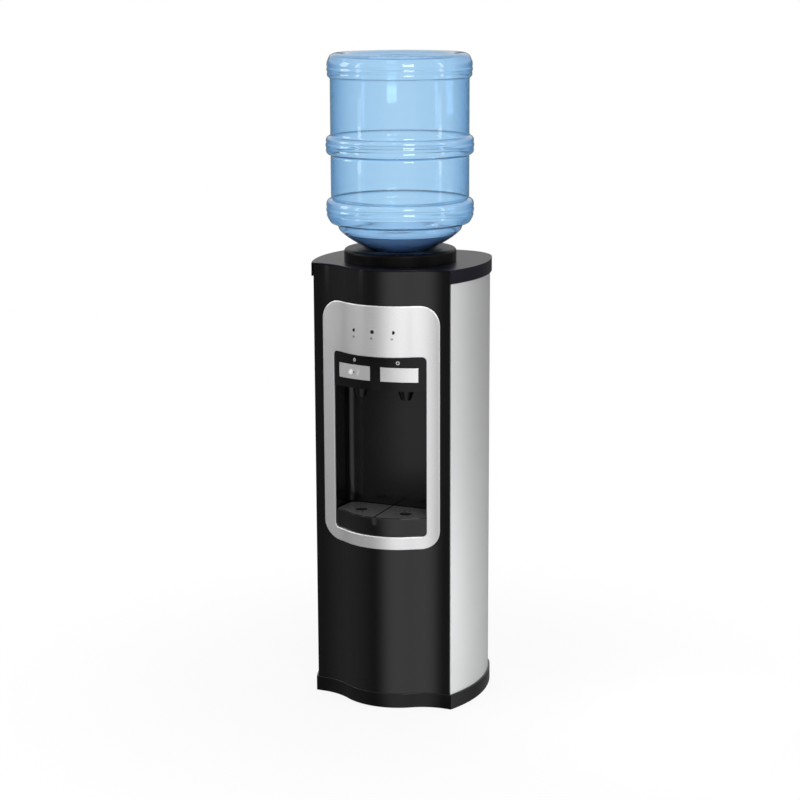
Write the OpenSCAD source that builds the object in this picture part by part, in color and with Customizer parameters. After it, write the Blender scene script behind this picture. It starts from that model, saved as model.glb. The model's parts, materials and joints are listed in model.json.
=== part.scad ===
// Top-loading water cooler for hot and cold water.
// A slim cabinet with a bowed front stands on a plinth. Two taps work over a niche with a
// slide-out drip tray, and a bottle stands neck down in the collar on top.
// X runs to the right, Y to the back and Z up. The origin is on the floor, under the middle.

/* [Cabinet] */
// Widest distance across the two curved side walls
body_w = 312; // [296:1:330]
// Distance from the origin forward to the flat wings of the front panel
wing_y = 114; // [108:1:120]
// Distance from the origin back to the flat rear panel
rear_y = 137; // [131:1:143]
// Radius of each side wall, seen from above
side_r = 255; // [230:1:290]
// Radius of the rounded rear corners
rear_r = 80; // [70:1:90]
// Half the width of the bow in the front panel
bow_half = 125; // [118:1:128]
// Radius of the bow's crown
bow_r = 115; // [110:1:125]
// Radius of the hollow curves that lead the bow into the wings
hollow_r = 107; // [100:1:115]
// Height of the cabinet's top face
top_z = 830; // [815:1:850]
// Wall of the moulded front panel
skin_t = 2.5; // [2:0.1:3]
// Thickness of the steel side and rear panels
steel_t = 1.2; // [0.8:0.1:1.5]
// How far plinth and top cover stand out beyond the panels
overhang = 3.46; // [3:0.01:4]
// How far the plinth's front stands out beyond the front panel
plinth_lip = 0.6; // [0.3:0.1:2]
// Air left between neighbouring parts that only seat on each other
seat_gap = 0.3; // [0.2:0.05:0.4]

/* [Plinth and feet] */
// Height of the plinth's deck above the floor
plinth_h = 29.3; // [27:0.1:34]
// Wall of the moulded plinth
plinth_t = 3; // [2.5:0.1:3.5]
// How far the rubber feet stand out below the plinth
foot_h = 3; // [2:0.5:5]
// Radius of a rubber foot
foot_r = 13; // [10:0.5:15]

/* [Top cover and collar] */
// Depth of the top cover's skirt over the side panels
skirt_h = 25; // [18:1:32]
// Thickness of the top cover's plate
cover_t = 3.5; // [3:0.1:4]
// Outer radius of the bottle collar
collar_r = 103.7; // [98:0.1:106]
// Height of the collar above the top cover
collar_h = 23; // [18:1:28]
// Distance of the bottle's axis in front of the origin
collar_y = 23; // [18:1:26]
// Radius of the collar's rim on which the bottle's shoulder rests
rim_r = 70.4; // [66:0.1:76]
// Radius of the well that takes the bottle's neck
well_r = 38; // [35:0.5:42]
// Depth of the well's floor below the collar's top
well_d = 63; // [62:1:68]
// Wall of the collar
collar_t = 3; // [2.5:0.1:3.5]

/* [Front bezel] */
// Width of the silver bezel
bezel_w = 233; // [225:1:240]
// Height of the bezel's lower edge above the floor
bezel_z0 = 309.3; // [300:0.1:315]
// Height of the bezel's upper edge above the floor
bezel_z1 = 763.9; // [755:0.1:775]
// Radius of the bezel's outer corners
bezel_corner = 36; // [28:1:44]
// How far the bezel stands out in front of the panel
bezel_t = 1.5; // [1:0.1:2]
// Width of the opening in the bezel
opening_w = 184; // [178:1:188]
// Height of the opening's lower edge
opening_z0 = 333.4; // [330:0.1:338]
// Height of the opening's upper edge
opening_z1 = 669.9; // [668:0.1:674]
// Radius of the opening's corners
opening_corner = 8; // [5:0.5:12]
// Thickness of the bezel's lip that lines the opening
lip_t = 1.5; // [1:0.1:2]
// Distance between the indicator lamps
lamp_pitch = 38; // [34:1:42]
// Height of the indicator lamps
lamp_z = 716; // [705:1:730]
// Radius of an indicator lamp's lens
lamp_r = 2.3; // [2:0.1:3]

/* [Fascia and buttons] */
// Height of the fascia's lower edge, which is the niche's ceiling
fascia_z0 = 606; // [600:1:610]
// Radius of the fascia's front, flatter than the panel's bow
fascia_r = 195; // [185:1:220]
// Depth of the fascia behind the crown of the bow, in the middle
fascia_set = 11; // [10:0.1:12]
// Wall of the fascia
fascia_t = 2.5; // [2:0.1:3]
// Width of a button
button_w = 68.4; // [62:0.1:72]
// Height of a button
button_h = 27; // [23:0.5:29]
// Clear width between the two buttons
button_split = 20.4; // [16:0.1:24]
// Height of the buttons' middle
button_z = 635.5; // [632:0.5:638]
// How far a button stands out of the fascia
button_proud = 1; // [0.6:0.1:1.5]
// Travel of a button
button_travel = 4; // [3:0.5:4.5]
// Air round a button in its window
button_air = 0.5; // [0.4:0.05:0.8]
// Place of the child lock along the hot button, from the middle of the cooler
lock_x = 50.8; // [46:0.1:54]
// Radius of the child lock's knob
lock_r = 4.8; // [4:0.1:5.5]
// Travel of the child lock
lock_travel = 6; // [4:0.5:7]

/* [Taps] */
// Distance between the two spouts
tap_pitch = 90; // [86:1:96]
// Distance of the spouts in front of the origin
tap_y = 104; // [100:1:108]
// Height of the spouts' mouths
spout_z = 585; // [578:1:592]
// Radius of the spout at the niche's ceiling
spout_r = 16; // [14:0.5:18]
// Radius of the spout's mouth on the outside
mouth_r = 9.5; // [8:0.5:11]
// Radius of the water way in the spout
way_r = 4; // [3:0.25:5]
// Radius of the plunger that a button drives
plunger_r = 3; // [2.5:0.1:3.5]
// Running clearance round a plunger in its bore
plunger_air = 0.05; // [0.03:0.01:0.08]
// Height of the plungers
plunger_z = 627.5; // [626:0.5:628]

/* [Niche] */
// Depth of the niche's back wall in front of the origin
niche_y = 60; // [54:1:64]
// Width of the niche at its back wall
niche_w = 176; // [168:1:180]
// Radius of the niche's rear corners
niche_corner = 20; // [14:1:26]
// Wall of the niche liner
liner_t = 2.5; // [2:0.1:3]

/* [Drip tray] */
// Air on each side of the drip tray in the niche
tray_air = 1; // [0.8:0.1:2]
// Wall of the drip tray
tray_t = 2.2; // [1.8:0.1:2.8]
// Height of the drip tray
tray_h = 34.3; // [30:0.1:38]
// How far the tray's front stays behind the front panel's face
tray_set = 1; // [0.6:0.1:2]
// Thickness of the grille
grille_t = 2.8; // [2.4:0.1:4]
// Depth of the grille's seat below the top of the tray's rim
grille_drop = 1.6; // [0.8:0.1:2]
// Radius of the drain target under each spout
target_r = 13; // [11:0.5:15]

/* [Bottle] */
// Radius of the bottle over its two large rings
bottle_r = 136; // [130:0.5:138]
// Height of the bottle above the collar's top
bottle_h = 355; // [330:1:420]
// How far the large rings stand out of the barrel
ring_proud = 9; // [6:0.5:11]
// How far the top ring stays inside the large rings
crown_in = 3; // [2:0.5:5]
// Wall of the bottle
bottle_t = 2; // [1.6:0.1:2.4]
// Height of the bottle's shoulder dome, half an ellipse
dome_h = 117; // [110:1:125]
// How far inside the rings the shoulder steps out to the lower one
step_in = 24; // [21:1:28]
// Height of the lower ring above the collar's top
ring1_z = 57; // [54:1:60]
// Height of the upper ring above the collar's top
ring2_z = 172; // [165:1:180]
// Height of a large ring
ring_h = 34; // [30:1:40]
// Height of the top ring
crown_h = 26; // [22:1:30]
// Outer radius of the bottle's neck
neck_r = 27.5; // [26:0.1:28.5]
// Length of the bottle's neck
neck_l = 40; // [36:1:42]
// Height of the cap's skirt
cap_h = 22; // [18:1:26]
// Wall of the cap
cap_t = 2.2; // [1.8:0.1:2.6]
// Radius of the cap's inner sleeve
sleeve_r = 22.5; // [18:0.5:23]
// Length of the cap's inner sleeve
sleeve_l = 72; // [60:1:76]

/* [Water probe] */
// Radius of the probe that opens the cap
probe_r = 8.5; // [7:0.5:10]
// Height of the probe above the well's floor
probe_l = 56; // [48:1:60]

/* [Tanks] */
// Radius of the cold tank
cold_r = 84; // [78:1:86]
// Height of the cold tank's floor
cold_z = 680; // [678:1:684]
// Height of the cold tank
cold_h = 96; // [88:1:98]
// Wall of both tanks
tank_t = 1; // [0.8:0.1:1.5]
// Radius of the hot tank
hot_r = 52; // [46:1:56]
// Height of the hot tank's floor
hot_z = 445; // [440:1:455]
// Height of the hot tank
hot_h = 140; // [120:1:145]
// Distance of the hot tank's axis behind the origin
hot_y = 34; // [30:1:40]
// Thickness of the foam round a tank
foam_t = 12; // [9:1:13]
// Distance between turns of the evaporator
coil_pitch = 7.5; // [7:0.5:9]
// Number of turns of the evaporator
coil_turns = 7; // [5:1:8]
// Radius of the evaporator's tube
coil_r = 2.4; // [2:0.1:2.6]

/* [Cooling unit] */
// Radius of the compressor's shell
comp_r = 58; // [52:1:60]
// Height of the compressor's shell
comp_h = 128; // [115:1:140]
// Distance of the compressor's axis behind the origin
comp_y = 34; // [30:1:40]
// How far the condenser stays inside the rear panel's seams
cond_in = 1; // [0:0.5:6]
// Height of the condenser's lowest run
cond_z0 = 262; // [255:1:280]
// Number of runs of the condenser's tube
cond_runs = 14; // [10:2:14]
// Distance between two runs
cond_pitch = 38; // [34:1:39]
// Radius of the condenser's tube
cond_r = 2.4; // [2:0.1:2.6]
// Radius of the condenser's wires
wire_r = 0.8; // [0.7:0.05:1]
// Number of wires on each side of the condenser
wire_count = 11; // [7:2:13]
// Depth of the condenser behind the rear panel
cond_reach = 22; // [19:0.5:26]

/* [Rear fittings] */
// Height of the switch plate's middle
switch_z = 190; // [180:1:200]
// Width of a rocker switch
rocker_w = 14; // [12:0.5:16]
// Height of a rocker switch
rocker_h = 22; // [20:0.5:26]
// Height of the power inlet's middle
inlet_z = 190; // [180:1:200]
// Height of the drain outlet
drain_z = 76; // [68:1:90]
// Radius of the drain outlet
drain_r = 8; // [7:0.5:9]

/* [Hidden] */

$fn = 64;
black = [0.06, 0.06, 0.065];
charcoal = [0.16, 0.16, 0.17];
silver = [0.74, 0.75, 0.76];
steel = [0.62, 0.63, 0.65];
water_blue = [0.45, 0.68, 0.92, 0.55];
cap_blue = [0.12, 0.3, 0.7];
copper = [0.72, 0.42, 0.26];
foam_white = [0.92, 0.92, 0.9];
rubber_black = [0.09, 0.09, 0.09];
board_green = [0.1, 0.35, 0.2];

// Plan of the cabinet
front_y = -wing_y;
side_cx = body_w / 2 - side_r;
side_cy = -13;
rear_cy = rear_y - rear_r;
rear_cx = side_cx + sqrt(pow(side_r - rear_r, 2) - pow(rear_cy - side_cy, 2));
rear_a = atan2(rear_cy - side_cy, rear_cx - side_cx);
bow_sin = bow_half / (bow_r + hollow_r);
bow_depth = bow_r + hollow_r - sqrt(pow(bow_r + hollow_r, 2) - pow(bow_half, 2));
crown_y = front_y - bow_depth;
inner_o = -steel_t - seat_gap;
seam_a = 86;
seam_x = rear_cx + rear_r * cos(seam_a);
fold_x = seam_x - 14.9;

// Levels
collar_top = top_z + collar_h;
plate_z = top_z - cover_t;
deck_z = plinth_h;
well_z = collar_top - well_d;
flange_o = -skin_t - seat_gap;
flange_t = 2.5;
flange_w = 12;

// Fascia and buttons
face_y = crown_y + fascia_set;
fascia_w = opening_w - 2 * seat_gap;
button_x = button_split / 2 + button_w / 2;
stop_w = 2;
stop_t = 1.5;
button_back = fascia_t + seat_gap + stop_t;

// Taps
tap_x = tap_pitch / 2;
tap_front = -tap_y - 14;
body_r = 12;
boss_y = face_y + fascia_dip(tap_x) + button_back + 5;
barb_z = plunger_z + 8;
barb_y = -tap_y + 32;
barb_r = 4.5;

// Bottle
shoulder_z = collar_top + seat_gap + dome_h * sqrt(1 - pow(rim_r / bottle_r, 2));
barrel_r = bottle_r - ring_proud;
step_r = bottle_r - step_in;
crown_r = bottle_r - crown_in;
neck_top = shoulder_z - dome_h * sqrt(1 - pow((neck_r + 3) / bottle_r, 2));
neck_z = neck_top - neck_l;

// Tray
floor_z = opening_z0 - 0.2;
tray_z = opening_z0 + seat_gap;
grille_z = tray_z + tray_h - grille_drop;

// Shelves and tanks
foam_in = cold_r + 2 * coil_r + 2;
coil_sides = 20;
coil_path = (cold_r + coil_r + seat_gap) / cos(180 / coil_sides);
upper_z = cold_z - foam_t - seat_gap;
lower_z = hot_z - foam_t - seat_gap;
shelf_t = 1.5;
shelf_front = -niche_y + liner_t + 6;
hot_in = hot_r + 2.5;

cold_out = [tap_x, -26];
cold_feed = [0, 20];
stub_x = 20;
coil_lift = 12;

// Condenser, cooling lines and rear fittings
stub_z = deck_z + 60;
discharge_x = 40;
rise_x = fold_x + 8;
rise_y = rear_y - 17;
port_x = 6 - fold_x;
drier_y = rear_y - 26;
drier_z = 200;
drier_h = 86;
cond_w = seam_x - cond_in;
cond_y = rear_y + cond_reach - 2 * wire_r - 0.05 - cond_r;
cond_z1 = cond_z0 + (cond_runs - 1) * cond_pitch;
line_x = 116;
switch_x = 37 - seam_x;
inlet_x = seam_x - 33;
rocker_x = 9.5;
rocker_tilt = 9;
axle_r = 1.5;

// A list of points on an arc, from angle a0 to a1
function arc(cx, cy, r, a0, a1, n = 8) =
    [for (i = [0:n]) let (a = a0 + (a1 - a0) * i / n) [cx + r * cos(a), cy + r * sin(a)]];
// The same points in the other order
function rev(p) = [for (i = [len(p) - 1:-1:0]) p[i]];
// The points mirrored to the left side, in the other order
function flip(p) = [for (i = [len(p) - 1:-1:0]) [-p[i].x, p[i].y]];
// All points but the first, and all but the first and the last
function tail(p) = [for (i = [1:len(p) - 1]) p[i]];
function core(p) = [for (i = [1:len(p) - 2]) p[i]];
function unit(v) = v / norm(v);

// The front panel's line at a distance o outside its face
function bow_y(x, o) = let (a = abs(x))
    a <= (bow_r + o) * bow_sin ? crown_y + bow_r - sqrt(pow(bow_r + o, 2) - a * a)
    : a < bow_half ? front_y - hollow_r + sqrt(pow(hollow_r - o, 2) - pow(bow_half - a, 2))
    : front_y - o;
// Points of that line from -w to w
function bow_line(o, w, n = 20) = let (b = min(w, bow_half)) concat(
    w > bow_half ? [[-w, front_y - o]] : [],
    [for (i = [-n:n]) [b * i / n, bow_y(b * i / n, o)]],
    w > bow_half ? [[w, front_y - o]] : []);
// Half width of the cabinet at y, a distance o outside its wall
function side_x(y, o) = side_cx + sqrt(pow(side_r + o, 2) - pow(y - side_cy, 2));
// The right wall's line from y0 back to the angle a1 of the rear corner
function side_line(o, y0, a1) = let (a0 = asin((y0 - side_cy) / (side_r + o))) concat(
    [for (i = [0:15]) let (a = a0 + (rear_a - a0) * i / 16)
        [side_cx + (side_r + o) * cos(a), side_cy + (side_r + o) * sin(a)]],
    arc(rear_cx, rear_cy, rear_r + o, rear_a, a1, 10));
// The whole outline, o outside the walls and f outside the front
function plan(o, f) = let (s = tail(side_line(o, front_y - f, 90)))
    concat(bow_line(f, side_x(front_y - f, o)), s, flip(s));
// How far the fascia's face falls back from its middle
function fascia_dip(x) = fascia_r - sqrt(fascia_r * fascia_r - x * x);
// Points of the fascia's face from x0 to x1, a distance d behind it
function face_line(x0, x1, d, n = 12) =
    [for (i = [0:n]) let (x = x0 + (x1 - x0) * i / n) [x, face_y + fascia_dip(x) + d]];
// The niche's wall from its front right edge round the back to the left, o outside it
function niche_line(o, y0) = let (h = niche_w / 2, c = niche_corner,
    s = concat([[opening_w / 2 + o, y0]], arc(h - c, -niche_y - c, c + o, 0, 90, 6)))
    concat(s, flip(s));
// A rectangle with rounded corners, from z0 to z1
function pane(w, z0, z1, r, n = 8) = concat(arc(w / 2 - r, z0 + r, r, -90, 0, n),
    arc(w / 2 - r, z1 - r, r, 0, 90, n), arc(r - w / 2, z1 - r, r, 90, 180, n),
    arc(r - w / 2, z0 + r, r, 180, 270, n));
// A path with its corners bent round, starting d before each
function bend(p, d, k = 4) = concat([p[0]],
    [for (i = [1:len(p) - 2])
        let (a = p[i] + d * unit(p[i - 1] - p[i]), b = p[i] + d * unit(p[i + 1] - p[i]))
        for (s = [0:k]) let (t = s / k) (1 - t) * (1 - t) * a + 2 * t * (1 - t) * p[i] + t * t * b],
    [p[len(p) - 1]]);
// A helix about Z, or about another axis once it is turned
function helix(r, pitch, turns, n = 20) =
    [for (i = [0:turns * n]) [r * cos(360 * i / n), r * sin(360 * i / n), pitch * i / n]];

// A round tube along a path; side is a direction that the path never takes
module tube(path, r, side, n = 8) {
    last = len(path) - 1;
    points = [for (i = [0:last])
        let (t = unit(path[min(i + 1, last)] - path[max(i - 1, 0)]), u = unit(cross(side, t)),
            v = cross(t, u))
        for (j = [0:n - 1]) path[i] + r * (cos(360 * j / n) * u + sin(360 * j / n) * v)];
    walls = [for (i = [0:last - 1]) for (j = [0:n - 1])
        let (k = (j + 1) % n, a = i * n + j, b = i * n + k)
        for (f = [[a, a + n, b + n], [a, b + n, b]]) f];
    polyhedron(points, concat(walls, [[for (j = [0:n - 1]) j]], [[for (j = [n - 1:-1:0]) last * n + j]]));
}

// A prism with its outline in the front view, from y0 back to y1
module frontal(points, y0, y1) {
    translate([0, y1, 0]) rotate([90, 0, 0]) linear_extrude(y1 - y0) polygon(points);
}

// A sheet that follows the front's bow, between two distances outside its face
module bow_sheet(o0, o1, w, z0, z1) {
    translate([0, 0, z0]) linear_extrude(z1 - z0) polygon(concat(bow_line(o1, w), rev(bow_line(o0, w))));
}

// A round bar along Y
module bar_y(x, y0, y1, z, r) {
    translate([x, y0, z]) rotate([-90, 0, 0]) cylinder(r = r, h = y1 - y0);
}

// A slab with the cabinet's plan
module slab(o, f, z0, z1) {
    translate([0, 0, z0]) linear_extrude(z1 - z0) polygon(plan(o, f));
}

module at_feet() {
    for (s = [-1, 1]) {
        translate([s * (body_w / 2 - 44), front_y + 30, 0]) children();
        translate([s * (body_w / 2 - 78), rear_y - 40, 0]) children();
    }
}

// Plinth: a ribbed tray turned upside down, with bosses over the feet
module base_plinth() {
    rib_t = 2.5;
    color(black) difference() {
        union() {
            difference() {
                slab(overhang, plinth_lip, foot_h, deck_z);
                slab(overhang - plinth_t, plinth_lip - plinth_t, foot_h - 1, deck_z - plinth_t);
            }
            intersection() {
                slab(overhang - 1, plinth_lip - 1, foot_h + 5, deck_z - 1);
                union() {
                    for (x = [-80, 0, 80]) translate([x - rib_t / 2, -200, 0]) cube([rib_t, 400, 60]);
                    for (y = [-60, 0, 60]) translate([-200, y - rib_t / 2, 0]) cube([400, rib_t, 60]);
                }
            }
            at_feet() translate([0, 0, foot_h]) cylinder(r = foot_r + 1.5, h = deck_z - foot_h - 1);
        }
        at_feet() translate([0, 0, foot_h - 1]) cylinder(r = 4.1, h = 9);
        for (i = [-3:3]) translate([i * 9 - 2, comp_y - 30, deck_z - plinth_t - 1])
            cube([4, 28, plinth_t + 2]);
    }
}

module rubber_feet() {
    color(rubber_black) at_feet() rotate_extrude()
        polygon([[0, 0], [foot_r - 1.5, 0], [foot_r, 1.5], [foot_r, foot_h], [4, foot_h],
            [4, foot_h + 7], [0, foot_h + 7]]);
}

// Front panel: bowed moulding with returns behind the side panels and posts for the lamp board
module front_panel() {
    w = side_x(front_y, 0);
    board_y = bow_y(0, 0) + 23.5;
    color(black) difference() {
        union() {
            bow_sheet(-skin_t, 0, w, deck_z, plate_z);
            for (s = [0, 1]) mirror([s, 0, 0]) translate([0, 0, deck_z]) linear_extrude(plate_z - deck_z)
                polygon(concat(return_line(inner_o), rev(return_line(inner_o - 2))));
            for (s = [-1, 1]) bar_y(s * 44, bow_y(44, -1), board_y - seat_gap, lamp_z - 8, 3);
        }
        frontal(pane(opening_w + 2 * (lip_t + seat_gap), opening_z0 - lip_t - seat_gap,
            opening_z1 + lip_t + seat_gap, opening_corner + lip_t + seat_gap), crown_y - 10, front_y + 10);
        for (i = [-1:1]) bar_y(i * lamp_pitch, crown_y - 10, board_y - 5, lamp_z, lamp_r + 0.1);
    }
}

// The short return of the front panel along the right wall
function return_line(o) = [for (i = [0:4]) let (y = front_y + 1 + i * 4) [side_x(y, o), y]];

// Side panel: one bent sheet from the front corner round to the rear seam
module side_panel(s) {
    y0 = front_y + skin_t + seat_gap;
    color(silver) mirror([s, 0, 0]) translate([0, 0, deck_z]) linear_extrude(plate_z - deck_z)
        polygon(concat(side_line(0, y0, seam_a), rev(side_line(-steel_t, y0, seam_a))));
}

module left_side_panel() { side_panel(1); }

module right_side_panel() { side_panel(0); }

// Where the rear panel is screwed to the side panels
module at_screws() {
    for (z = [deck_z + 14, (deck_z + plate_z) / 2, top_z - skirt_h - 8], s = [-1, 1])
        translate([s * (seam_x - 8), rear_y, z]) rotate([-90, 0, 0]) children();
}

// Rear panel: flat sheet with folded edges, louvre slots and the cut-outs for the fittings
module back_panel() {
    w = seam_x - seat_gap;
    color(charcoal) difference() {
        union() {
            translate([-w, rear_y - steel_t, deck_z]) cube([2 * w, steel_t, plate_z - deck_z]);
            for (s = [-1, 1]) translate([s * fold_x - steel_t / 2, rear_y - 10, deck_z])
                cube([steel_t, 10, plate_z - deck_z]);
        }
        at_screws() translate([0, 0, -5]) cylinder(r = 1.7, h = 10);
        for (i = [0:5]) translate([-inlet_x, rear_y - 5, comp_h - 24 + i * 9]) cube([2 * inlet_x, 10, 4]);
        for (z = [cond_z0, cond_z1]) bar_y(port_x, rear_y - 5, rear_y + 5, z, cond_r + 0.6);
        translate([switch_x - 19.3, rear_y - 5, switch_z - 13.3]) cube([38.6, 10, 26.6]);
        translate([inlet_x - 14.3, rear_y - 5, inlet_z - 10.8]) cube([28.6, 10, 21.6]);
        bar_y(0, rear_y - 5, rear_y + 5, drain_z, drain_r + 0.1);
    }
}

// Pan-head screws through the rear panel
module panel_screws() {
    color(steel) at_screws() rotate_extrude($fn = 24)
        polygon([[0, -6], [1.5, -6], [1.5, 0.05], [3.6, 0.05], [3.6, 0.9], [2.8, 1.8], [0, 2.1]]);
}

// Top cover: plate over everything, with a skirt on the sides and rear
module top_cover() {
    color(charcoal) difference() {
        union() {
            slab(overhang, overhang, plate_z, top_z);
            intersection() {
                difference() {
                    slab(overhang, overhang, top_z - skirt_h, plate_z + 1);
                    slab(seat_gap, seat_gap, top_z - skirt_h - 1, plate_z);
                }
                translate([-250, front_y, top_z - skirt_h]) cube([500, 500, skirt_h - 1]);
            }
        }
        translate([0, -collar_y, plate_z - 1]) cylinder(r = well_r + 22, h = cover_t + 2);
        translate([-250, -250, top_z - skirt_h - 1]) cube([500, 250 + front_y, skirt_h + 1 - cover_t]);
    }
}

// Collar: a ring on the cover with a funnel and a well for the neck
module bottle_collar() {
    round_r = 6;
    neck_in = well_r + collar_t;
    profile = concat(
        [[collar_r - collar_t, top_z], [collar_r, top_z]],
        arc(collar_r - round_r, collar_top - round_r, round_r, 0, 90, 6),
        [[rim_r, collar_top], [rim_r - 3, collar_top - 2.5], [well_r + 14, top_z - 5], [well_r, top_z - 18],
            [well_r, well_z], [probe_r + 0.1, well_z], [probe_r + 0.1, well_z - collar_t],
            [neck_in, well_z - collar_t], [neck_in, top_z - 19.5], [well_r + 18, top_z - 5],
            [well_r + 20, top_z], [rim_r + 1, collar_top - collar_t - 2.5],
            [rim_r + 3, collar_top - collar_t]],
        rev(arc(collar_r - round_r, collar_top - round_r, round_r - collar_t, 0, 90, 6)));
    color(charcoal) translate([0, -collar_y, 0]) rotate_extrude($fn = 96) polygon(profile);
}

// Probe: a hollow spike with side windows, through the well's floor into the cold tank
module water_probe() {
    tip = well_z + probe_l;
    color(silver) translate([0, -collar_y, 0]) difference() {
        rotate_extrude() polygon(concat(
            [[probe_r - 2, well_z - 12], [probe_r, well_z - 12], [probe_r, well_z], [probe_r + 5, well_z],
                [probe_r + 5, well_z + 2.5], [probe_r, well_z + 2.5]],
            arc(0, tip - probe_r, probe_r, 0, 90, 6), rev(arc(0, tip - probe_r, probe_r - 2, 0, 90, 6))));
        for (a = [0, 90]) rotate([0, 0, a]) translate([-20, -2.5, tip - probe_r - 20]) cube([40, 5, 16]);
    }
}

// Outer line of the bottle from its mouth up to the middle of its top
function bottle_line() = let (
    z1 = collar_top + ring1_z, z2 = collar_top + ring2_z, z3 = collar_top + bottle_h - 18 - crown_h,
    top = collar_top + bottle_h, b = barrel_r)
    concat([[neck_r, neck_z], [neck_r, neck_top - 2]],
        [for (i = [0:9]) let (r = neck_r + 3 + (step_r - neck_r - 3) * i / 9)
            [r, shoulder_z - dome_h * sqrt(1 - pow(r / bottle_r, 2))]],
        [[step_r + 1, z1 - 17]],
        arc(bottle_r - 16, z1, 16, -76, 0, 6),
        arc(bottle_r - 6, z1 + ring_h - 6, 6, 0, 90, 4),
        [[b - 1.5, z1 + ring_h + 2], [b, z1 + ring_h + 5], [b, z2 - 4], [b - 1.5, z2 - 1]],
        arc(bottle_r - 6, z2 + 6, 6, -90, 0, 4),
        arc(bottle_r - 6, z2 + ring_h - 6, 6, 0, 90, 4),
        [[b, z2 + ring_h + 3], [b, z3 - 3]],
        arc(crown_r - 4, z3 + 4, 4, -90, 0, 3),
        arc(crown_r - 18, top - 18, 18, 0, 90, 6),
        [[crown_r - 32, top - 1.5], [crown_r - 44, top - 7], [crown_r - 90, top - 9], [0, top - 9.5]]);

// Normal of a line at point i, pointing out of the bottle
function line_normal(p, i) = let (d = unit(p[min(i + 1, len(p) - 1)] - p[max(i - 1, 0)])) [d.y, -d.x];

// Bottle: blown shell with two large rings and a crown ring, open at the neck
module bottle() {
    outer = bottle_line();
    last = len(outer) - 1;
    inner = [for (i = [0:last]) i == 0 ? [neck_r - bottle_t, neck_z]
        : i == last ? [0, outer[last].y - bottle_t] : outer[i] - bottle_t * line_normal(outer, i)];
    color(water_blue) translate([0, -collar_y, 0]) rotate_extrude($fn = 96)
        polygon(concat(outer, rev(inner)));
}

// Cap: skirt over the neck and a slotted sleeve up inside it
module bottle_cap() {
    z0 = neck_z - cap_t - 0.2;
    color(cap_blue) translate([0, -collar_y, 0]) difference() {
        rotate_extrude() polygon([
            [sleeve_r - 2, z0], [neck_r + 0.2 + cap_t, z0], [neck_r + 0.2 + cap_t, z0 + cap_h],
            [neck_r + 0.2, z0 + cap_h], [neck_r + 0.2, neck_z - 0.2], [sleeve_r, neck_z - 0.2],
            [sleeve_r, z0 + sleeve_l], [0, z0 + sleeve_l + 2], [0, z0 + sleeve_l],
            [sleeve_r - 2, z0 + sleeve_l - 2]]);
        for (a = [0:60:120]) rotate([0, 0, a]) translate([-40, -4, z0 + sleeve_l - 22]) cube([80, 8, 14]);
    }
}

// Bezel: silver frame on the bow, its lip lining the opening
module front_bezel() {
    w = bezel_w / 2;
    color(silver) difference() {
        union() {
            intersection() {
                bow_sheet(0.15, bezel_t, w, bezel_z0, bezel_z1);
                frontal(pane(bezel_w, bezel_z0, bezel_z1, bezel_corner, 12), crown_y - 10, front_y + 10);
            }
            intersection() {
                bow_sheet(-skin_t + 0.1, bezel_t, w, bezel_z0, bezel_z1);
                frontal(pane(opening_w + 2 * lip_t, opening_z0 - lip_t, opening_z1 + lip_t,
                    opening_corner + lip_t), crown_y - 10, front_y + 10);
            }
        }
        frontal(pane(opening_w, opening_z0, opening_z1, opening_corner), crown_y - 20, front_y + 20);
        for (i = [-1:1]) bar_y(i * lamp_pitch, crown_y - 10, front_y, lamp_z, lamp_r + 0.1);
    }
}

module indicator_lenses() {
    board_y = bow_y(0, 0) + 23.5;
    color([0.2, 0.2, 0.2]) for (i = [-1:1])
        bar_y(i * lamp_pitch, bow_y(i * lamp_pitch, bezel_t) - 0.5, board_y - seat_gap, lamp_z, lamp_r);
}

module indicator_board() {
    board_y = bow_y(0, 0) + 23.5;
    color(board_green) translate([-52, board_y, lamp_z - 14]) cube([104, 1.6, 28]);
}

// Fascia: flatter than the bow, with two button windows, a ledge above and the niche's ceiling below
module button_fascia() {
    h = fascia_w / 2;
    top = opening_z1 - seat_gap;
    air = button_air;
    color(black) difference() {
        union() {
            intersection() {
                union() {
                    translate([0, 0, fascia_z0]) linear_extrude(top - fascia_z0)
                        polygon(concat(face_line(-h, h, 0, 24), rev(face_line(-h, h, fascia_t, 24))));
                    translate([0, 0, fascia_z0]) linear_extrude(fascia_t)
                        polygon(concat(face_line(-h, h, 1, 24), core(niche_line(-seat_gap, 0))));
                    translate([0, 0, top - fascia_t]) linear_extrude(fascia_t)
                        polygon(concat(bow_line(-skin_t / 5, h), rev(face_line(-h, h, 1, 24))));
                    for (s = [0, 1]) mirror([s, 0, 0])
                        translate([h - 3, face_y + fascia_dip(h), fascia_z0]) cube([3, 12, top - fascia_z0]);
                }
                frontal(pane(fascia_w, fascia_z0 - 50, top, opening_corner - seat_gap), crown_y - 5, 0);
            }
            difference() {
                bow_sheet(flange_o - flange_t, flange_o, h + flange_w, fascia_z0, top + flange_w - 1);
                frontal(pane(fascia_w - 6, fascia_z0 - 50, top - fascia_t, 1, 1), crown_y - 20, front_y + 20);
            }
        }
        for (s = [-1, 1]) {
            translate([s * button_x - button_w / 2 - air, face_y - 5, button_z - button_h / 2 - air])
                cube([button_w + 2 * air, 28, button_h + 2 * air]);
            translate([s * tap_x, -tap_y, fascia_z0 - 1]) cylinder(r = spout_r + 0.3, h = fascia_t + 2);
        }
    }
}

// The point of the lock knob on the hot button, turned square to the face there
module at_lock() {
    translate([-lock_x, face_y + fascia_dip(lock_x) - button_proud, button_z])
        rotate([0, 0, -asin(lock_x / fascia_r)]) children();
}

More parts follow.
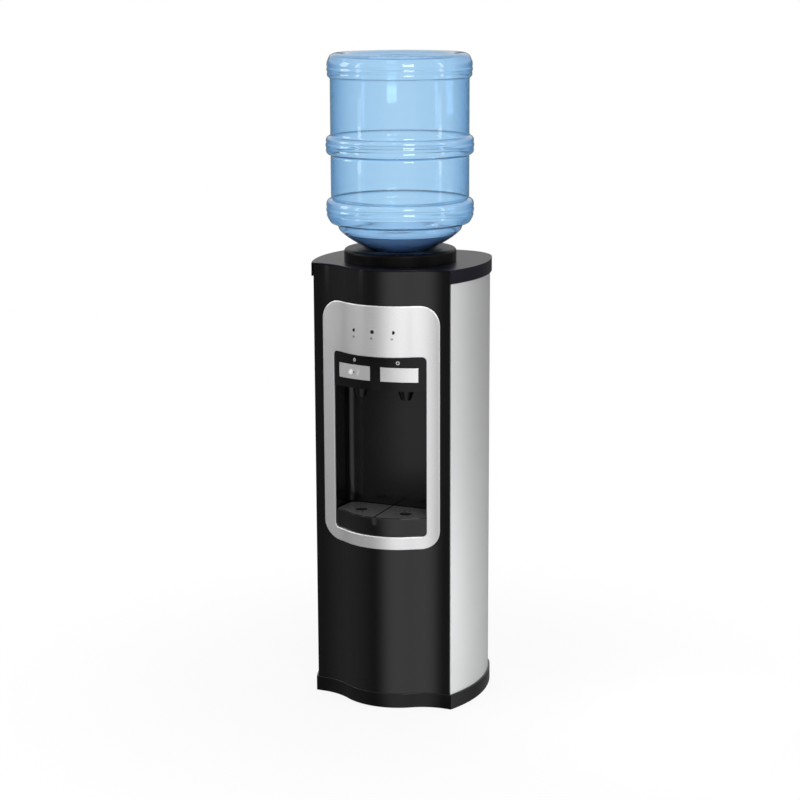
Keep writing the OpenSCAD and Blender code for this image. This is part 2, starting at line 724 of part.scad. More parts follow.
// Button: a curved key with a stop flange behind the fascia and a socket for its plunger
module button_body(s) {
    x0 = button_split / 2;
    x1 = x0 + button_w;
    z0 = button_z - button_h / 2;
    mirror([s, 0, 0]) difference() {
        union() {
            translate([0, 0, z0]) linear_extrude(button_h)
                polygon(concat(face_line(x0, x1, -button_proud), rev(face_line(x0, x1, button_back))));
            translate([0, 0, z0 - stop_w]) linear_extrude(button_h + 2 * stop_w)
                polygon(concat(face_line(x0 - stop_w, x1 + stop_w, fascia_t + seat_gap),
                    rev(face_line(x0 - stop_w, x1 + stop_w, button_back))));
            bar_y(tap_x, boss_y - 8, boss_y, plunger_z, plunger_r + 2.5);
        }
        bar_y(tap_x, boss_y - 6, boss_y + 1, plunger_z, plunger_r + plunger_air);
    }
}

module hot_button() {
    color(silver) difference() {
        button_body(1);
        at_lock() {
            translate([-lock_r - 0.6, -2, -lock_r - 0.6])
                cube([2 * lock_r + lock_travel + 1.2, 2.8, 2 * lock_r + 1.2]);
            translate([-2, -2, -2]) cube([4 + lock_travel, 12, 4]);
        }
    }
}

module cold_button() { color(silver) button_body(0); }

// Child lock: knob in a pocket of the hot button, its foot hooked behind
module hot_lock() {
    depth = button_proud + button_back;
    color([0.95, 0.95, 0.95]) at_lock() {
        bar_y(0, -1.4, 0.5, 0, lock_r);
        bar_y(0, 0.4, depth + 0.6, 0, 1.7);
        bar_y(0, depth + 0.5, depth + 1.6, 0, 2.4);
    }
}

module plunger(s) {
    color(silver) bar_y(s * tap_x, boss_y - 5.7, -tap_y - 2 - button_travel, plunger_z, plunger_r);
}

module hot_plunger() { plunger(-1); }

module cold_plunger() { plunger(1); }

// Return spring round the plunger, between the tap and the button's socket
module return_spring(s) {
    wire = 0.45;
    turns = 5;
    span = tap_front - boss_y - 2 * wire - 0.2;
    color(steel) translate([s * tap_x, boss_y + wire + 0.1, plunger_z]) rotate([-90, 0, 0])
        tube(helix(plunger_r + 1.3, span / turns, turns, 12), wire, [0, 0, 1], 6);
}

module hot_spring() { return_spring(-1); }

module cold_spring() { return_spring(1); }

// Tap: spout through the niche's ceiling, valve body above it, stem boss in front, barb behind
module faucet(s) {
    seat = fascia_z0 + fascia_t;
    top = barb_z + 9;
    translate([s * tap_x, -tap_y, 0]) difference() {
        union() {
            rotate_extrude() polygon([[0, spout_z], [mouth_r, spout_z], [mouth_r + 1, spout_z + 3],
                [spout_r, fascia_z0 - 2], [spout_r, seat], [spout_r + 3, seat], [spout_r + 3, seat + 3],
                [body_r, seat + 3], [body_r, top - 2], [body_r - 2, top], [0, top]]);
            bar_y(0, tap_front + tap_y, 0, plunger_z, plunger_r + 3.2);
            bar_y(0, 0, barb_y + tap_y, barb_z, barb_r);
        }
        translate([0, 0, spout_z - 1]) cylinder(r = way_r, h = barb_z - spout_z + 1);
        bar_y(0, tap_front + tap_y - 1, -1, plunger_z, plunger_r + plunger_air);
        bar_y(0, 0, barb_y + tap_y + 1, barb_z, barb_r - 1.7);
    }
}

module hot_faucet() { color(black) faucet(-1); }

module cold_faucet() { color(black) faucet(1); }

// Niche liner: one moulding with side walls, rounded back, floor and a flange behind the panel
module niche_liner() {
    y0 = bow_y(opening_w / 2 + liner_t, flange_o);
    h = opening_w / 2;
    color(black) difference() {
        union() {
            translate([0, 0, floor_z - liner_t]) linear_extrude(fascia_z0 - floor_z + liner_t)
                polygon(concat(niche_line(liner_t, y0), rev(niche_line(0, y0))));
            translate([0, 0, floor_z - liner_t]) linear_extrude(liner_t)
                polygon(concat(bow_line(flange_o, h), tail(niche_line(0.5, y0))));
            bow_sheet(flange_o - flange_t, flange_o, h + flange_w, floor_z - flange_w, fascia_z0);
        }
        frontal(pane(opening_w, floor_z, fascia_z0 + 50, 1, 1), crown_y - 20, y0 + flange_t + 2);
    }
}

// Plan of the drip tray, drawn in by d on every side
function tray_plan(d) =
    concat(bow_line(-tray_set - d, opening_w / 2 - tray_air - d), core(niche_line(-tray_air - d, 0)));

// A block with the tray's plan drawn in by d, from z0 up, its lower side edges rounded by r
module tray_block(d, z0, h, r) {
    intersection() {
        translate([0, 0, z0]) linear_extrude(h) polygon(tray_plan(d));
        frontal(pane(opening_w - 2 * (tray_air + d), z0, z0 + h + 2 * r, r), crown_y - 5, 0);
    }
}

// Drip tray: a deep pan whose front closes the bezel's opening
module drip_tray() {
    r = opening_corner - tray_air;
    well = tray_t + 1.6;
    color(black) difference() {
        tray_block(0, tray_z, tray_h, r);
        tray_block(well, tray_z + tray_t, tray_h, r - well + 0.8);
        translate([0, 0, grille_z]) linear_extrude(tray_h) polygon(tray_plan(tray_t - seat_gap));
    }
}

// Grille: a plate with two drain targets, slots round each and a groove across the middle
module drip_grille() {
    z0 = grille_z;
    color(charcoal) difference() {
        translate([0, 0, z0]) linear_extrude(grille_t) polygon(tray_plan(tray_t));
        for (s = [-1, 1]) translate([s * tap_x, -tap_y - 3, z0]) {
            translate([0, 0, 1]) cylinder(r1 = target_r - 3, r2 = target_r, h = grille_t);
            for (i = [-2:2]) let (h = sqrt(pow(target_r - 4, 2) - pow(i * 4, 2)))
                translate([i * 4.6 - 1.1, -h, -1]) cube([2.2, 2 * h, grille_t]);
            for (a = [0:30:330]) rotate([0, 0, a]) translate([target_r + 4, -1, -1])
                cube([7, 2, grille_t + 2]);
        }
        translate([-1.25, -200, z0 + grille_t - 1.2]) cube([2.5, 200, 3]);
    }
}

// Shelf: a steel plate between the side panels with turned-down front edge
module shelf(z) {
    color(steel) difference() {
        intersection() {
            union() {
                translate([-200, shelf_front, z - shelf_t]) cube([400, 400, shelf_t]);
                translate([-200, shelf_front, z - 12]) cube([400, shelf_t, 12]);
            }
            slab(inner_o, inner_o - 30, z - 20, z + 1);
        }
        translate([-seam_x, rear_y - steel_t - seat_gap, z - 20]) cube([2 * seam_x, 50, 40]);
        for (s = [-1, 1]) translate([s * fold_x - 1.5, rear_y - 11, z - 20])
            cube([3, 30, 40]);
        for (s = [0, 9]) translate([line_x, s, z - 20]) cylinder(r = 5, h = 40);
        children();
    }
}

module upper_shelf() {
    shelf(upper_z) {
        for (p = [cold_out, cold_feed, [rise_x, rise_y]])
            translate([p.x, p.y, upper_z - 20]) cylinder(r = 7, h = 40);
    }
}

module lower_shelf() {
    shelf(lower_z) {
        for (p = [[0, hot_y], [rise_x, rise_y]])
            translate([p.x, p.y, lower_z - 20]) cylinder(r = 7, h = 40);
    }
}

// Cold tank: steel drum with an inlet in its lid and two spigots in its floor
module cold_tank() {
    color(steel) difference() {
        union() {
            translate([0, 0, cold_z]) cylinder(r = cold_r, h = cold_h, $fn = 96);
            for (p = [cold_out, cold_feed])
                translate([p.x, p.y, cold_z - foam_t - 8]) cylinder(r = barb_r, h = foam_t + 9);
        }
        translate([0, 0, cold_z + tank_t]) cylinder(r = cold_r - tank_t, h = cold_h - 2 * tank_t, $fn = 96);
        translate([0, -collar_y, cold_z + cold_h - 2 * tank_t]) cylinder(r = probe_r + 2, h = 10);
        for (p = [cold_out, cold_feed])
            translate([p.x, p.y, cold_z - foam_t - 9]) cylinder(r = barb_r - 1.5, h = foam_t + 12);
    }
}

// Foam cup round the cold tank and its coil
module cold_tank_foam() {
    z0 = cold_z - foam_t - seat_gap + 0.01;
    color(foam_white) difference() {
        translate([0, 0, z0]) cylinder(r = foam_in + foam_t, h = cold_h + foam_t, $fn = 96);
        translate([0, 0, cold_z - seat_gap]) cylinder(r = foam_in, h = cold_h + 20, $fn = 96);
        for (p = [cold_out, cold_feed])
            translate([p.x, p.y, z0 - 1]) cylinder(r = barb_r + 0.5, h = foam_t + 4);
        translate([foam_in - 12, -7, cold_z]) cube([40, 22, cold_h + 20]);
    }
}

// Separator: a perforated disc that keeps warm water above the chilled water
module water_separator() {
    z = cold_z + cold_h * 0.6;
    color(foam_white) difference() {
        union() {
            translate([0, 0, z]) cylinder(r = cold_r - tank_t - seat_gap, h = 2);
            translate([cold_feed.x, cold_feed.y, cold_z + tank_t + seat_gap]) cylinder(r = 6, h = z - cold_z);
        }
        for (a = [0:45:315]) rotate([0, 0, a]) translate([60, 0, z - 1]) cylinder(r = 5, h = 4);
        translate([cold_feed.x, cold_feed.y, cold_z]) cylinder(r = 4, h = cold_h);
    }
}

// Evaporator: copper tube wound round the cold tank
module evaporator_coil() {
    color(copper) translate([0, 0, cold_z + coil_lift])
        tube(helix(coil_path, coil_pitch, coil_turns, coil_sides), coil_r, [0, 0, 1], 6);
}

// Hot tank: steel drum with two stubs on its lid and one in its floor
module hot_tank() {
    color(steel) translate([0, hot_y, hot_z]) difference() {
        union() {
            cylinder(r = hot_r, h = hot_h);
            for (x = [-stub_x, stub_x]) translate([x, 0, hot_h - 1]) cylinder(r = barb_r, h = 12);
            translate([0, 0, -foam_t - 10]) cylinder(r = barb_r, h = foam_t + 11);
        }
        translate([0, 0, tank_t]) cylinder(r = hot_r - tank_t, h = hot_h - 2 * tank_t);
        for (x = [-stub_x, stub_x]) translate([x, 0, hot_h - 5]) cylinder(r = barb_r - 1.5, h = 20);
        translate([0, 0, -foam_t - 11]) cylinder(r = barb_r - 1.5, h = foam_t + 15);
    }
}

module hot_tank_foam() {
    z0 = hot_z - foam_t - seat_gap + 0.01;
    color(foam_white) translate([0, hot_y, z0]) difference() {
        cylinder(r = hot_in + foam_t, h = hot_h + foam_t - 4);
        translate([0, 0, foam_t]) cylinder(r = hot_in, h = hot_h + 20);
        translate([0, 0, -1]) cylinder(r = barb_r + 0.5, h = foam_t + 4);
    }
}

// Band heater clamped round the hot tank
module heater_band() {
    h = 45;
    color(steel) translate([0, hot_y, hot_z + 20]) difference() {
        cylinder(r = hot_r + 2, h = h);
        translate([0, 0, -1]) cylinder(r = hot_r + 0.2, h = h + 2);
        translate([-1.5, -hot_r - 5, -1]) cube([3, 10, h + 2]);
    }
}

// Thermostat discs on the hot tank's lid
module tank_thermostats() {
    color([0.25, 0.2, 0.18]) for (y = [-28, 28]) translate([0, hot_y + y, hot_z + hot_h]) {
        cylinder(r = 9, h = 5);
        for (x = [-5, 5]) translate([x - 0.4, -3, 4]) cube([0.8, 6, 9]);
    }
}

module cold_hose() {
    z0 = cold_z - foam_t - 8 - seat_gap;
    color(foam_white) tube(bend([[cold_out.x, cold_out.y, z0], [cold_out.x, cold_out.y, barb_z],
        [tap_x, barb_y + seat_gap, barb_z]], 9), barb_r, [1, 0, 0]);
}

module hot_hose() {
    z0 = hot_z + hot_h + 11 + seat_gap;
    x = -stub_x;
    color(foam_white) tube(bend([[x, hot_y, z0], [x, hot_y, barb_z - 12], [x, -30, barb_z - 12],
        [-tap_x, -50, barb_z], [-tap_x, barb_y + seat_gap, barb_z]], 9), barb_r, [1, 0.2, 0.1]);
}

module feed_hose() {
    z0 = cold_z - foam_t - 8 - seat_gap;
    z1 = hot_z + hot_h + 11 + seat_gap;
    p = cold_feed;
    color(foam_white) tube(bend([[p.x, p.y, z0], [p.x, p.y, z0 - 16], [stub_x, hot_y, z1 + 16],
        [stub_x, hot_y, z1]], 7), barb_r, [0.5, -1, 0]);
}

// Drain hose from the hot tank's floor down behind the compressor to the outlet
module drain_hose() {
    z0 = hot_z - foam_t - 10 - seat_gap;
    color(foam_white) tube(bend([[0, hot_y, z0], [0, hot_y, z0 - 60], [0, rear_y - 24, z0 - 100],
        [0, rear_y - 24, drain_z], [0, rear_y - 16 - seat_gap, drain_z]], 7), barb_r, [1, 0, 0]);
}

// Drain outlet: flanged spigot through the rear panel
module drain_outlet() {
    color(black) difference() {
        union() {
            bar_y(0, rear_y - 16, rear_y + 6, drain_z, drain_r);
            bar_y(0, rear_y - steel_t - 3, rear_y - steel_t - 0.05, drain_z, drain_r + 4);
        }
        bar_y(0, rear_y - 15, rear_y + 7, drain_z, drain_r - 3);
    }
}

// Screw cap on the drain outlet, with grip ribs
module drain_cap() {
    y1 = rear_y + 6 + 0.3;
    color(black) difference() {
        union() {
            bar_y(0, rear_y + 0.4, y1 + 3, drain_z, drain_r + 3);
            for (a = [0:30:330]) translate([0, 0, drain_z]) rotate([0, a, 0])
                translate([-1, rear_y + 0.4, drain_r + 2.5]) cube([2, y1 + 2 - rear_y, 1.2]);
        }
        bar_y(0, rear_y, y1, drain_z, drain_r + 0.08);
    }
}

// Compressor: welded pot with a seam flange on a foot plate, and two stubs
module compressor() {
    z0 = deck_z + 10;
    color(black) translate([0, comp_y, z0]) difference() {
        union() {
            translate([-72, -50, 0]) cube([144, 100, 2.5]);
            rotate_extrude($fn = 72) polygon(concat([[0, 2]], arc(comp_r - 22, 26, 22, -90, 0, 6),
                [[comp_r, 60], [comp_r + 3, 60], [comp_r + 3, 63], [comp_r, 63]],
                arc(comp_r - 40, comp_h - 30, 40, 0, 60, 6), [[0, comp_h + 10]]));
            translate([line_x - 44, -10, stub_z - z0]) rotate([0, -90, 0]) cylinder(r = 4, h = 20);
            bar_y(discharge_x, 30, 66, stub_z - z0, 4);
        }
        for (x = [-62, 62], y = [-40, 40]) translate([x, y, -1]) cylinder(r = 5, h = 5);
    }
}

// Rubber grommets that carry the foot plate
module compressor_mounts() {
    color(rubber_black) for (x = [-62, 62], y = [-40, 40]) translate([x, comp_y + y, deck_z])
        rotate_extrude($fn = 32)
            polygon([[0, 0], [9, 0], [9, 10], [4.9, 10], [4.9, 12.6], [7, 12.6], [6, 16], [0, 16]]);
}

// Filter drier: copper pot with tapered ends
module filter_drier() {
    h = drier_h;
    color(copper) translate([port_x, drier_y, drier_z]) rotate_extrude($fn = 32)
        polygon([[0, 0], [2.6, 0], [2.6, 6], [9, 16], [9, h - 16], [4, h - 6], [4, h], [0, h]]);
}

// Three copper lines: compressor to condenser, condenser to drier and evaporator to compressor
module refrigerant_lines() {
    y1 = rear_y - 8 - seat_gap;
    z0 = cold_z + coil_lift;
    z1 = z0 + coil_turns * coil_pitch;
    z2 = cond_z1 + 12;
    out = coil_path + coil_r + seat_gap;
    color(copper) {
        tube(bend([[discharge_x, comp_y + 66 + seat_gap, stub_z], [discharge_x, rise_y, stub_z],
            [rise_x, rise_y, stub_z + 60], [rise_x, rise_y, z2], [port_x, rise_y, z2],
            [port_x, rise_y, cond_z1], [port_x, y1, cond_z1]], 7), 2.6, [1, -1, 0.3]);
        tube(bend([[port_x, drier_y, drier_z + drier_h + seat_gap], [port_x, drier_y, drier_z + drier_h + 14],
            [port_x, drier_y + 12, drier_z + drier_h + 14], [port_x, drier_y + 12, cond_z0],
            [port_x, y1, cond_z0]], 5), 2.6, [1, 0, 0]);
        tube(bend([[line_x - 44 + seat_gap, comp_y - 10, stub_z], [line_x, comp_y - 10, stub_z],
            [line_x, 0, stub_z + 40], [line_x, 0, z1], [out, 0, z1]], 8), 2.6, [0.3, 1, 0.2]);
        tube(bend([[port_x, drier_y, drier_z - seat_gap], [port_x, drier_y, drier_z - 15],
            [port_x, 108, drier_z - 15], [line_x, 60, drier_z - 10], [line_x, 9, drier_z + 40],
            [line_x, 9, z0], [out, 0, z0]], 8), 1.5, [0.3, 1, 0.2], 6);
    }
}

// Condenser: a serpentine tube with wires on both sides, its ends turned in through the panel
module condenser() {
    bend_r = cond_pitch / 2;
    run = cond_w - bend_r - cond_r;
    inner_y = rear_y - 8;
    bends = [for (i = [0:cond_runs - 2]) let (s = i % 2 == 0 ? 1 : -1, z = cond_z0 + (i + 0.5) * cond_pitch)
        for (k = [0:6]) [s * (run + bend_r * cos(30 * k - 90)), cond_y, z + bend_r * sin(30 * k - 90)]];
    lower = [[port_x, cond_y - 9, cond_z0], [port_x, cond_y, cond_z0], [port_x + 9, cond_y, cond_z0]];
    upper = [[port_x + 9, cond_y, cond_z1], [port_x, cond_y, cond_z1], [port_x, cond_y - 9, cond_z1]];
    wire_step = (2 * run - 16) / (wire_count - 1);
    color(black) {
        tube(concat([[port_x, inner_y, cond_z0]], bend(lower, 7), bends, bend(upper, 7),
            [[port_x, inner_y, cond_z1]]), cond_r, [0.02, 0.05, 1], 8);
        for (i = [0:wire_count - 1], s = [-1, 1])
            translate([-run + 8 + i * wire_step, cond_y + s * (cond_r + wire_r + 0.05), cond_z0 - 8])
                cylinder(r = wire_r, h = cond_z1 - cond_z0 + 16, $fn = 16);
    }
}

// Clips that hold the condenser off the rear panel
module condenser_clips() {
    y1 = cond_y - cond_r - 2 * wire_r - 0.4;
    color(steel) for (x = [-40, 40], z = [cond_z0 + 1.5 * cond_pitch, cond_z1 - 1.5 * cond_pitch])
        translate([x - 6, rear_y + 0.05, z]) {
            cube([12, 1, 14]);
            cube([12, y1 - rear_y, 1.2]);
            translate([0, y1 - rear_y - 1, 0]) cube([12, 1, 10]);
        }
}

// Control box on the deck by the left wall, with vents in that side
module control_box() {
    size = [52, 60, 74];
    color(charcoal) translate([24 - body_w / 2, -52, deck_z]) difference() {
        cube(size);
        for (i = [0:4]) translate([-1, 10 + i * 10, size.z - 24]) cube([3, 4, 16]);
    }
}

// Switch plate: frame for two rockers, set in the rear panel, with sockets for their axles
module switch_plate() {
    depth = 16;
    w = rocker_w + 0.8;
    color(black) difference() {
        union() {
            translate([switch_x - 22, rear_y + 0.05, switch_z - 16]) cube([44, 2, 32]);
            translate([switch_x - 19, rear_y - depth, switch_z - 13]) cube([38, depth + 1, 26]);
        }
        for (s = [-1, 1]) translate([switch_x + s * rocker_x, rear_y, switch_z]) {
            translate([-w / 2, 2 - depth, -rocker_h / 2 - 0.4]) cube([w, depth + 5, rocker_h + 0.8]);
            translate([-w / 2 - 1.3, -3, 0]) rotate([0, 90, 0]) cylinder(r = axle_r + 0.05, h = w + 2.6);
        }
    }
}

// Rocker: a shallow vee key on an axle, resting with one half pressed in
module rocker(s) {
    w = rocker_w;
    r = rocker_h / 2;
    translate([switch_x + s * rocker_x - w / 2, rear_y - 3, switch_z]) {
        rotate([rocker_tilt, 0, 0]) rotate([90, 0, 90]) linear_extrude(w)
            polygon([[-6, 2.5], [-6, -2.5], [-1, 0.9 - r], [3.6, 0.8 - r], [3.4, 0], [3.6, r - 0.8],
                [-1, r - 0.9]]);
        translate([-1.4, 0, 0]) rotate([0, 90, 0]) cylinder(r = axle_r, h = w + 2.8);
    }
}

module hot_switch() { color([0.7, 0.1, 0.08]) rocker(-1); }

module cold_switch() { color([0.1, 0.45, 0.2]) rocker(1); }

// Power inlet: framed socket with three blades, set in the rear panel
module power_inlet() {
    depth = 20;
    color(black) translate([inlet_x, 0, inlet_z]) difference() {
        union() {
            translate([-17, rear_y + 0.05, -14]) cube([34, 2, 28]);
            translate([-14, rear_y - depth, -10.5]) cube([28, depth + 1, 21]);
        }
        frontal([[-12, -8], [12, -8], [12, 4], [8.5, 8], [-8.5, 8], [-12, 4]], rear_y - depth + 2,
            rear_y + 5);
    }
    color(silver) translate([inlet_x, 0, inlet_z]) for (p = [[-7, -2], [0, 2], [7, -2]])
        translate([p.x - 1, rear_y - depth + 1, p.y - 2]) cube([2, depth - 7, 4]);
}

base_plinth();
rubber_feet();
front_panel();
left_side_panel();
right_side_panel();
back_panel();
panel_screws();
top_cover();
bottle_collar();
water_probe();
bottle();
bottle_cap();
front_bezel();
indicator_lenses();
indicator_board();
button_fascia();
hot_button();
cold_button();
hot_lock();
hot_plunger();
cold_plunger();
hot_spring();
cold_spring();
hot_faucet();
cold_faucet();
niche_liner();
drip_tray();
drip_grille();
upper_shelf();
lower_shelf();
cold_tank();
cold_tank_foam();
water_separator();
evaporator_coil();
hot_tank();
hot_tank_foam();
heater_band();
tank_thermostats();
cold_hose();
hot_hose();
feed_hose();
drain_hose();
drain_outlet();
drain_cap();
compressor();
compressor_mounts();
filter_drier();
refrigerant_lines();
condenser();
condenser_clips();
control_box();
switch_plate();
hot_switch();
cold_switch();
power_inlet();
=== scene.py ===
"""Visual model of a top-loading water cooler with its bottle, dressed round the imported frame.

Every length is in metres and in the frame's own axes: X to the right, Y to the back, Z up.
"""

import json
import logging
import math
from dataclasses import dataclass, field
from enum import Enum

import bmesh
import bpy
import numpy as np
from mathutils import Matrix, Vector


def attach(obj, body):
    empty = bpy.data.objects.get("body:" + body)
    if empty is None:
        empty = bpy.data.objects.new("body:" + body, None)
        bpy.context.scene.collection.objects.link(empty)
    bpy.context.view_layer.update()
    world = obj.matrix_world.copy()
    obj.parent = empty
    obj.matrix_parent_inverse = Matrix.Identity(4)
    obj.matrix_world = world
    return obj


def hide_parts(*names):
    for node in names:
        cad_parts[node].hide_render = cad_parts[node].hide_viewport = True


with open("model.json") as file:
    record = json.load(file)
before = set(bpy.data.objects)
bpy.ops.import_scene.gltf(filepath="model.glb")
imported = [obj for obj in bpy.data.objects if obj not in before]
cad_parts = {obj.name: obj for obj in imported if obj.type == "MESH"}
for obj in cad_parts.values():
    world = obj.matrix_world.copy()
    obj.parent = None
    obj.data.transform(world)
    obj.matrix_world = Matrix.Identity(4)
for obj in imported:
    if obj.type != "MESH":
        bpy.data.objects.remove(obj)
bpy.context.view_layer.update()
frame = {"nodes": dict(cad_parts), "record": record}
log = logging.getLogger("water_cooler")
Array = np.ndarray
Colour = tuple[float, float, float]
MM = 0.001


def arc(cx: float, cy: float, radius: float, start: float, end: float, steps: int = 8) -> Array:
    """Points on an arc: the centre plus the radius times the cosine and sine of even angles.

    Args:
        cx: first coordinate of the centre.
        cy: second coordinate of the centre.
        radius: radius of the arc.
        start: first angle in degrees.
        end: last angle in degrees.
        steps: number of equal steps.

    Returns:
        An array of steps + 1 points.
    """
    angle = np.radians(np.linspace(start, end, steps + 1))
    return np.column_stack([cx + radius * np.cos(angle), cy + radius * np.sin(angle)])


def rounded(points: list[tuple[float, ...]], radius: float, steps: int = 5) -> Array:
    """A line with its corners bent round: near each corner it follows a parabola between its arms.

    Args:
        points: corners of the line, in two or three coordinates.
        radius: distance before and after a corner over which it bends, halved on short arms.
        steps: number of steps round a corner.

    Returns:
        The bent line's points.
    """
    corner = np.array(points, float)
    line = [corner[:1]]
    t = np.linspace(0, 1, steps + 1)[:, None]
    for before, here, after in zip(corner[:-2], corner[1:-1], corner[2:]):
        arms = [other - here for other in (before, after)]
        reach = [min(radius, np.linalg.norm(arm) / 2) / np.linalg.norm(arm) for arm in arms]
        a, b = (here + arm * part for arm, part in zip(arms, reach))
        line.append((1 - t) ** 2 * a + 2 * t * (1 - t) * here + t**2 * b)
    line.append(corner[-1:])
    return np.vstack(line)


def pane(width: float, low: float, high: float, radius: float, across: int = 48, up: int = 24) -> Array:
    """A closed rectangle with rounded corners, with evenly spaced points along its sides.

    Args:
        width: full width, centred on zero.
        low: height of the lower side.
        high: height of the upper side.
        radius: radius of the corners.
        across: steps along the lower and upper sides.
        up: steps along the left and right sides.

    Returns:
        The points from the lower right corner round to the left, in order.
    """
    h = width / 2 - radius
    corners = [
        arc(h, low + radius, radius, -90, 0),
        arc(h, high - radius, radius, 0, 90),
        arc(-h, high - radius, radius, 90, 180),
        arc(-h, low + radius, radius, 180, 270),
    ]
    line = []
    for k, corner in enumerate(corners):
        steps = up if k % 2 == 0 else across
        line.append(corner)
        line.append(np.linspace(corner[-1], corners[(k + 1) % 4][0], steps + 1)[1:-1])
    return np.vstack(line)


def shifted(line: Array, distance: float) -> Array:
    """A closed line moved sideways: each point moves along the mean normal of its two edges.

    Args:
        line: points of a closed line that runs anticlockwise.
        distance: how far it moves inwards.

    Returns:
        The moved points.
    """
    ahead = np.roll(line, -1, 0) - line
    ahead /= np.linalg.norm(ahead, axis=1)[:, None]
    behind = np.roll(ahead, 1, 0)
    mean = ahead + behind
    mean /= np.linalg.norm(mean, axis=1)[:, None]
    normal = np.column_stack([-mean[:, 1], mean[:, 0]])
    lean = np.clip((ahead * mean).sum(1), 0.5, 1)
    return line + normal * (distance / lean)[:, None]


@dataclass(frozen=True)
class Plan:
    """The cabinet seen from above: a bowed front between flat wings, curved sides, round rear corners."""

    wing: float = 114 * MM
    bow_half: float = 125 * MM
    bow_radius: float = 115 * MM
    hollow_radius: float = 107 * MM
    side_radius: float = 255 * MM
    side_x: float = -99 * MM
    side_y: float = -13 * MM
    corner_radius: float = 80 * MM
    corner_y: float = 57 * MM
    across: int = 96

    @property
    def corner_x(self) -> float:
        """Place of the rear corner's centre, where the corner's arc touches the side's arc."""
        gap = self.side_radius - self.corner_radius
        return self.side_x + math.sqrt(gap**2 - (self.corner_y - self.side_y) ** 2)

    @property
    def touch(self) -> float:
        """Angle in degrees at which the side's arc hands over to the rear corner's."""
        return math.degrees(math.atan2(self.corner_y - self.side_y, self.corner_x - self.side_x))

    @property
    def crown(self) -> float:
        """Y of the foremost line of the bow."""
        both = self.bow_radius + self.hollow_radius
        return -self.wing - both + math.sqrt(both**2 - self.bow_half**2)

    def bow(self, x: Array, out: float = 0.0) -> Array:
        """Y of the front at x: a round crown, two hollow arcs that meet it, then flat wings.

        Args:
            x: places across the front.
            out: distance outside the front's face.

        Returns:
            The Y of each place.
        """
        a = np.abs(x)
        share = self.bow_half / (self.bow_radius + self.hollow_radius)
        round_r = self.bow_radius + out
        hollow_r = self.hollow_radius - out
        crown = self.crown + self.bow_radius - np.sqrt(np.maximum(round_r**2 - a**2, 0))
        short = np.minimum(a - self.bow_half, 0)
        hollow = -self.wing - self.hollow_radius + np.sqrt(hollow_r**2 - short**2)
        return np.where(a <= round_r * share, crown, np.where(a < self.bow_half, hollow, -self.wing - out))

    def side(self, y: Array | float, out: float = 0.0) -> Array:
        """Half width of the cabinet at y, on the side wall's arc.

        Args:
            y: places from front to back.
            out: distance outside the wall.

        Returns:
            The half width at each place.
        """
        return self.side_x + np.sqrt((self.side_radius + out) ** 2 - (y - self.side_y) ** 2)

    def wall(self, out: float, start: float, end: float = 90.0, steps: int = 24) -> Array:
        """The right wall from the front round the rear corner.

        Args:
            out: distance outside the wall.
            start: Y of the first point.
            end: angle in degrees at which the rear corner's arc stops.
            steps: steps along the side and along the corner.

        Returns:
            The points from front to back.
        """
        radius = self.side_radius + out
        first = math.degrees(math.asin((start - self.side_y) / radius))
        side = arc(self.side_x, self.side_y, radius, first, self.touch, steps)
        corner = arc(self.corner_x, self.corner_y, self.corner_radius + out, self.touch, end, steps)
        return np.vstack([side[:-1], corner])

    def outline(self, out: float, front: float) -> Array:
        """The whole outline, with a double point at each front corner.

        Args:
            out: distance outside the walls.
            front: distance outside the front.

        Returns:
            The closed line, anticlockwise from the left front corner.
        """
        start = -self.wing - front
        half = float(self.side(start, out))
        x = half * np.linspace(-1, 1, self.across + 1)
        face = np.column_stack([x, self.bow(x, front)])
        right = self.wall(out, start)
        left = right[::-1] * [-1, 1]
        return np.vstack([face, right, left])


PLAN = Plan()
CIRCLE = arc(0, 0, 1, 0, 345, 23)


def at_height(line: Array, z: float | Array) -> Array:
    """A line seen from above, lifted to a height.

    Args:
        line: points in X and Y.
        z: one height, or one for each point.

    Returns:
        The points in X, Y and Z.
    """
    return np.column_stack([line, np.broadcast_to(z, len(line))])


def on_bow(line: Array, out: float) -> Array:
    """A line in the front view, laid on the bowed front.

    Args:
        line: points in X and Z.
        out: distance outside the front panel's face.

    Returns:
        The points in X, Y and Z.
    """
    return np.column_stack([line[:, 0], PLAN.bow(line[:, 0], out), line[:, 1]])


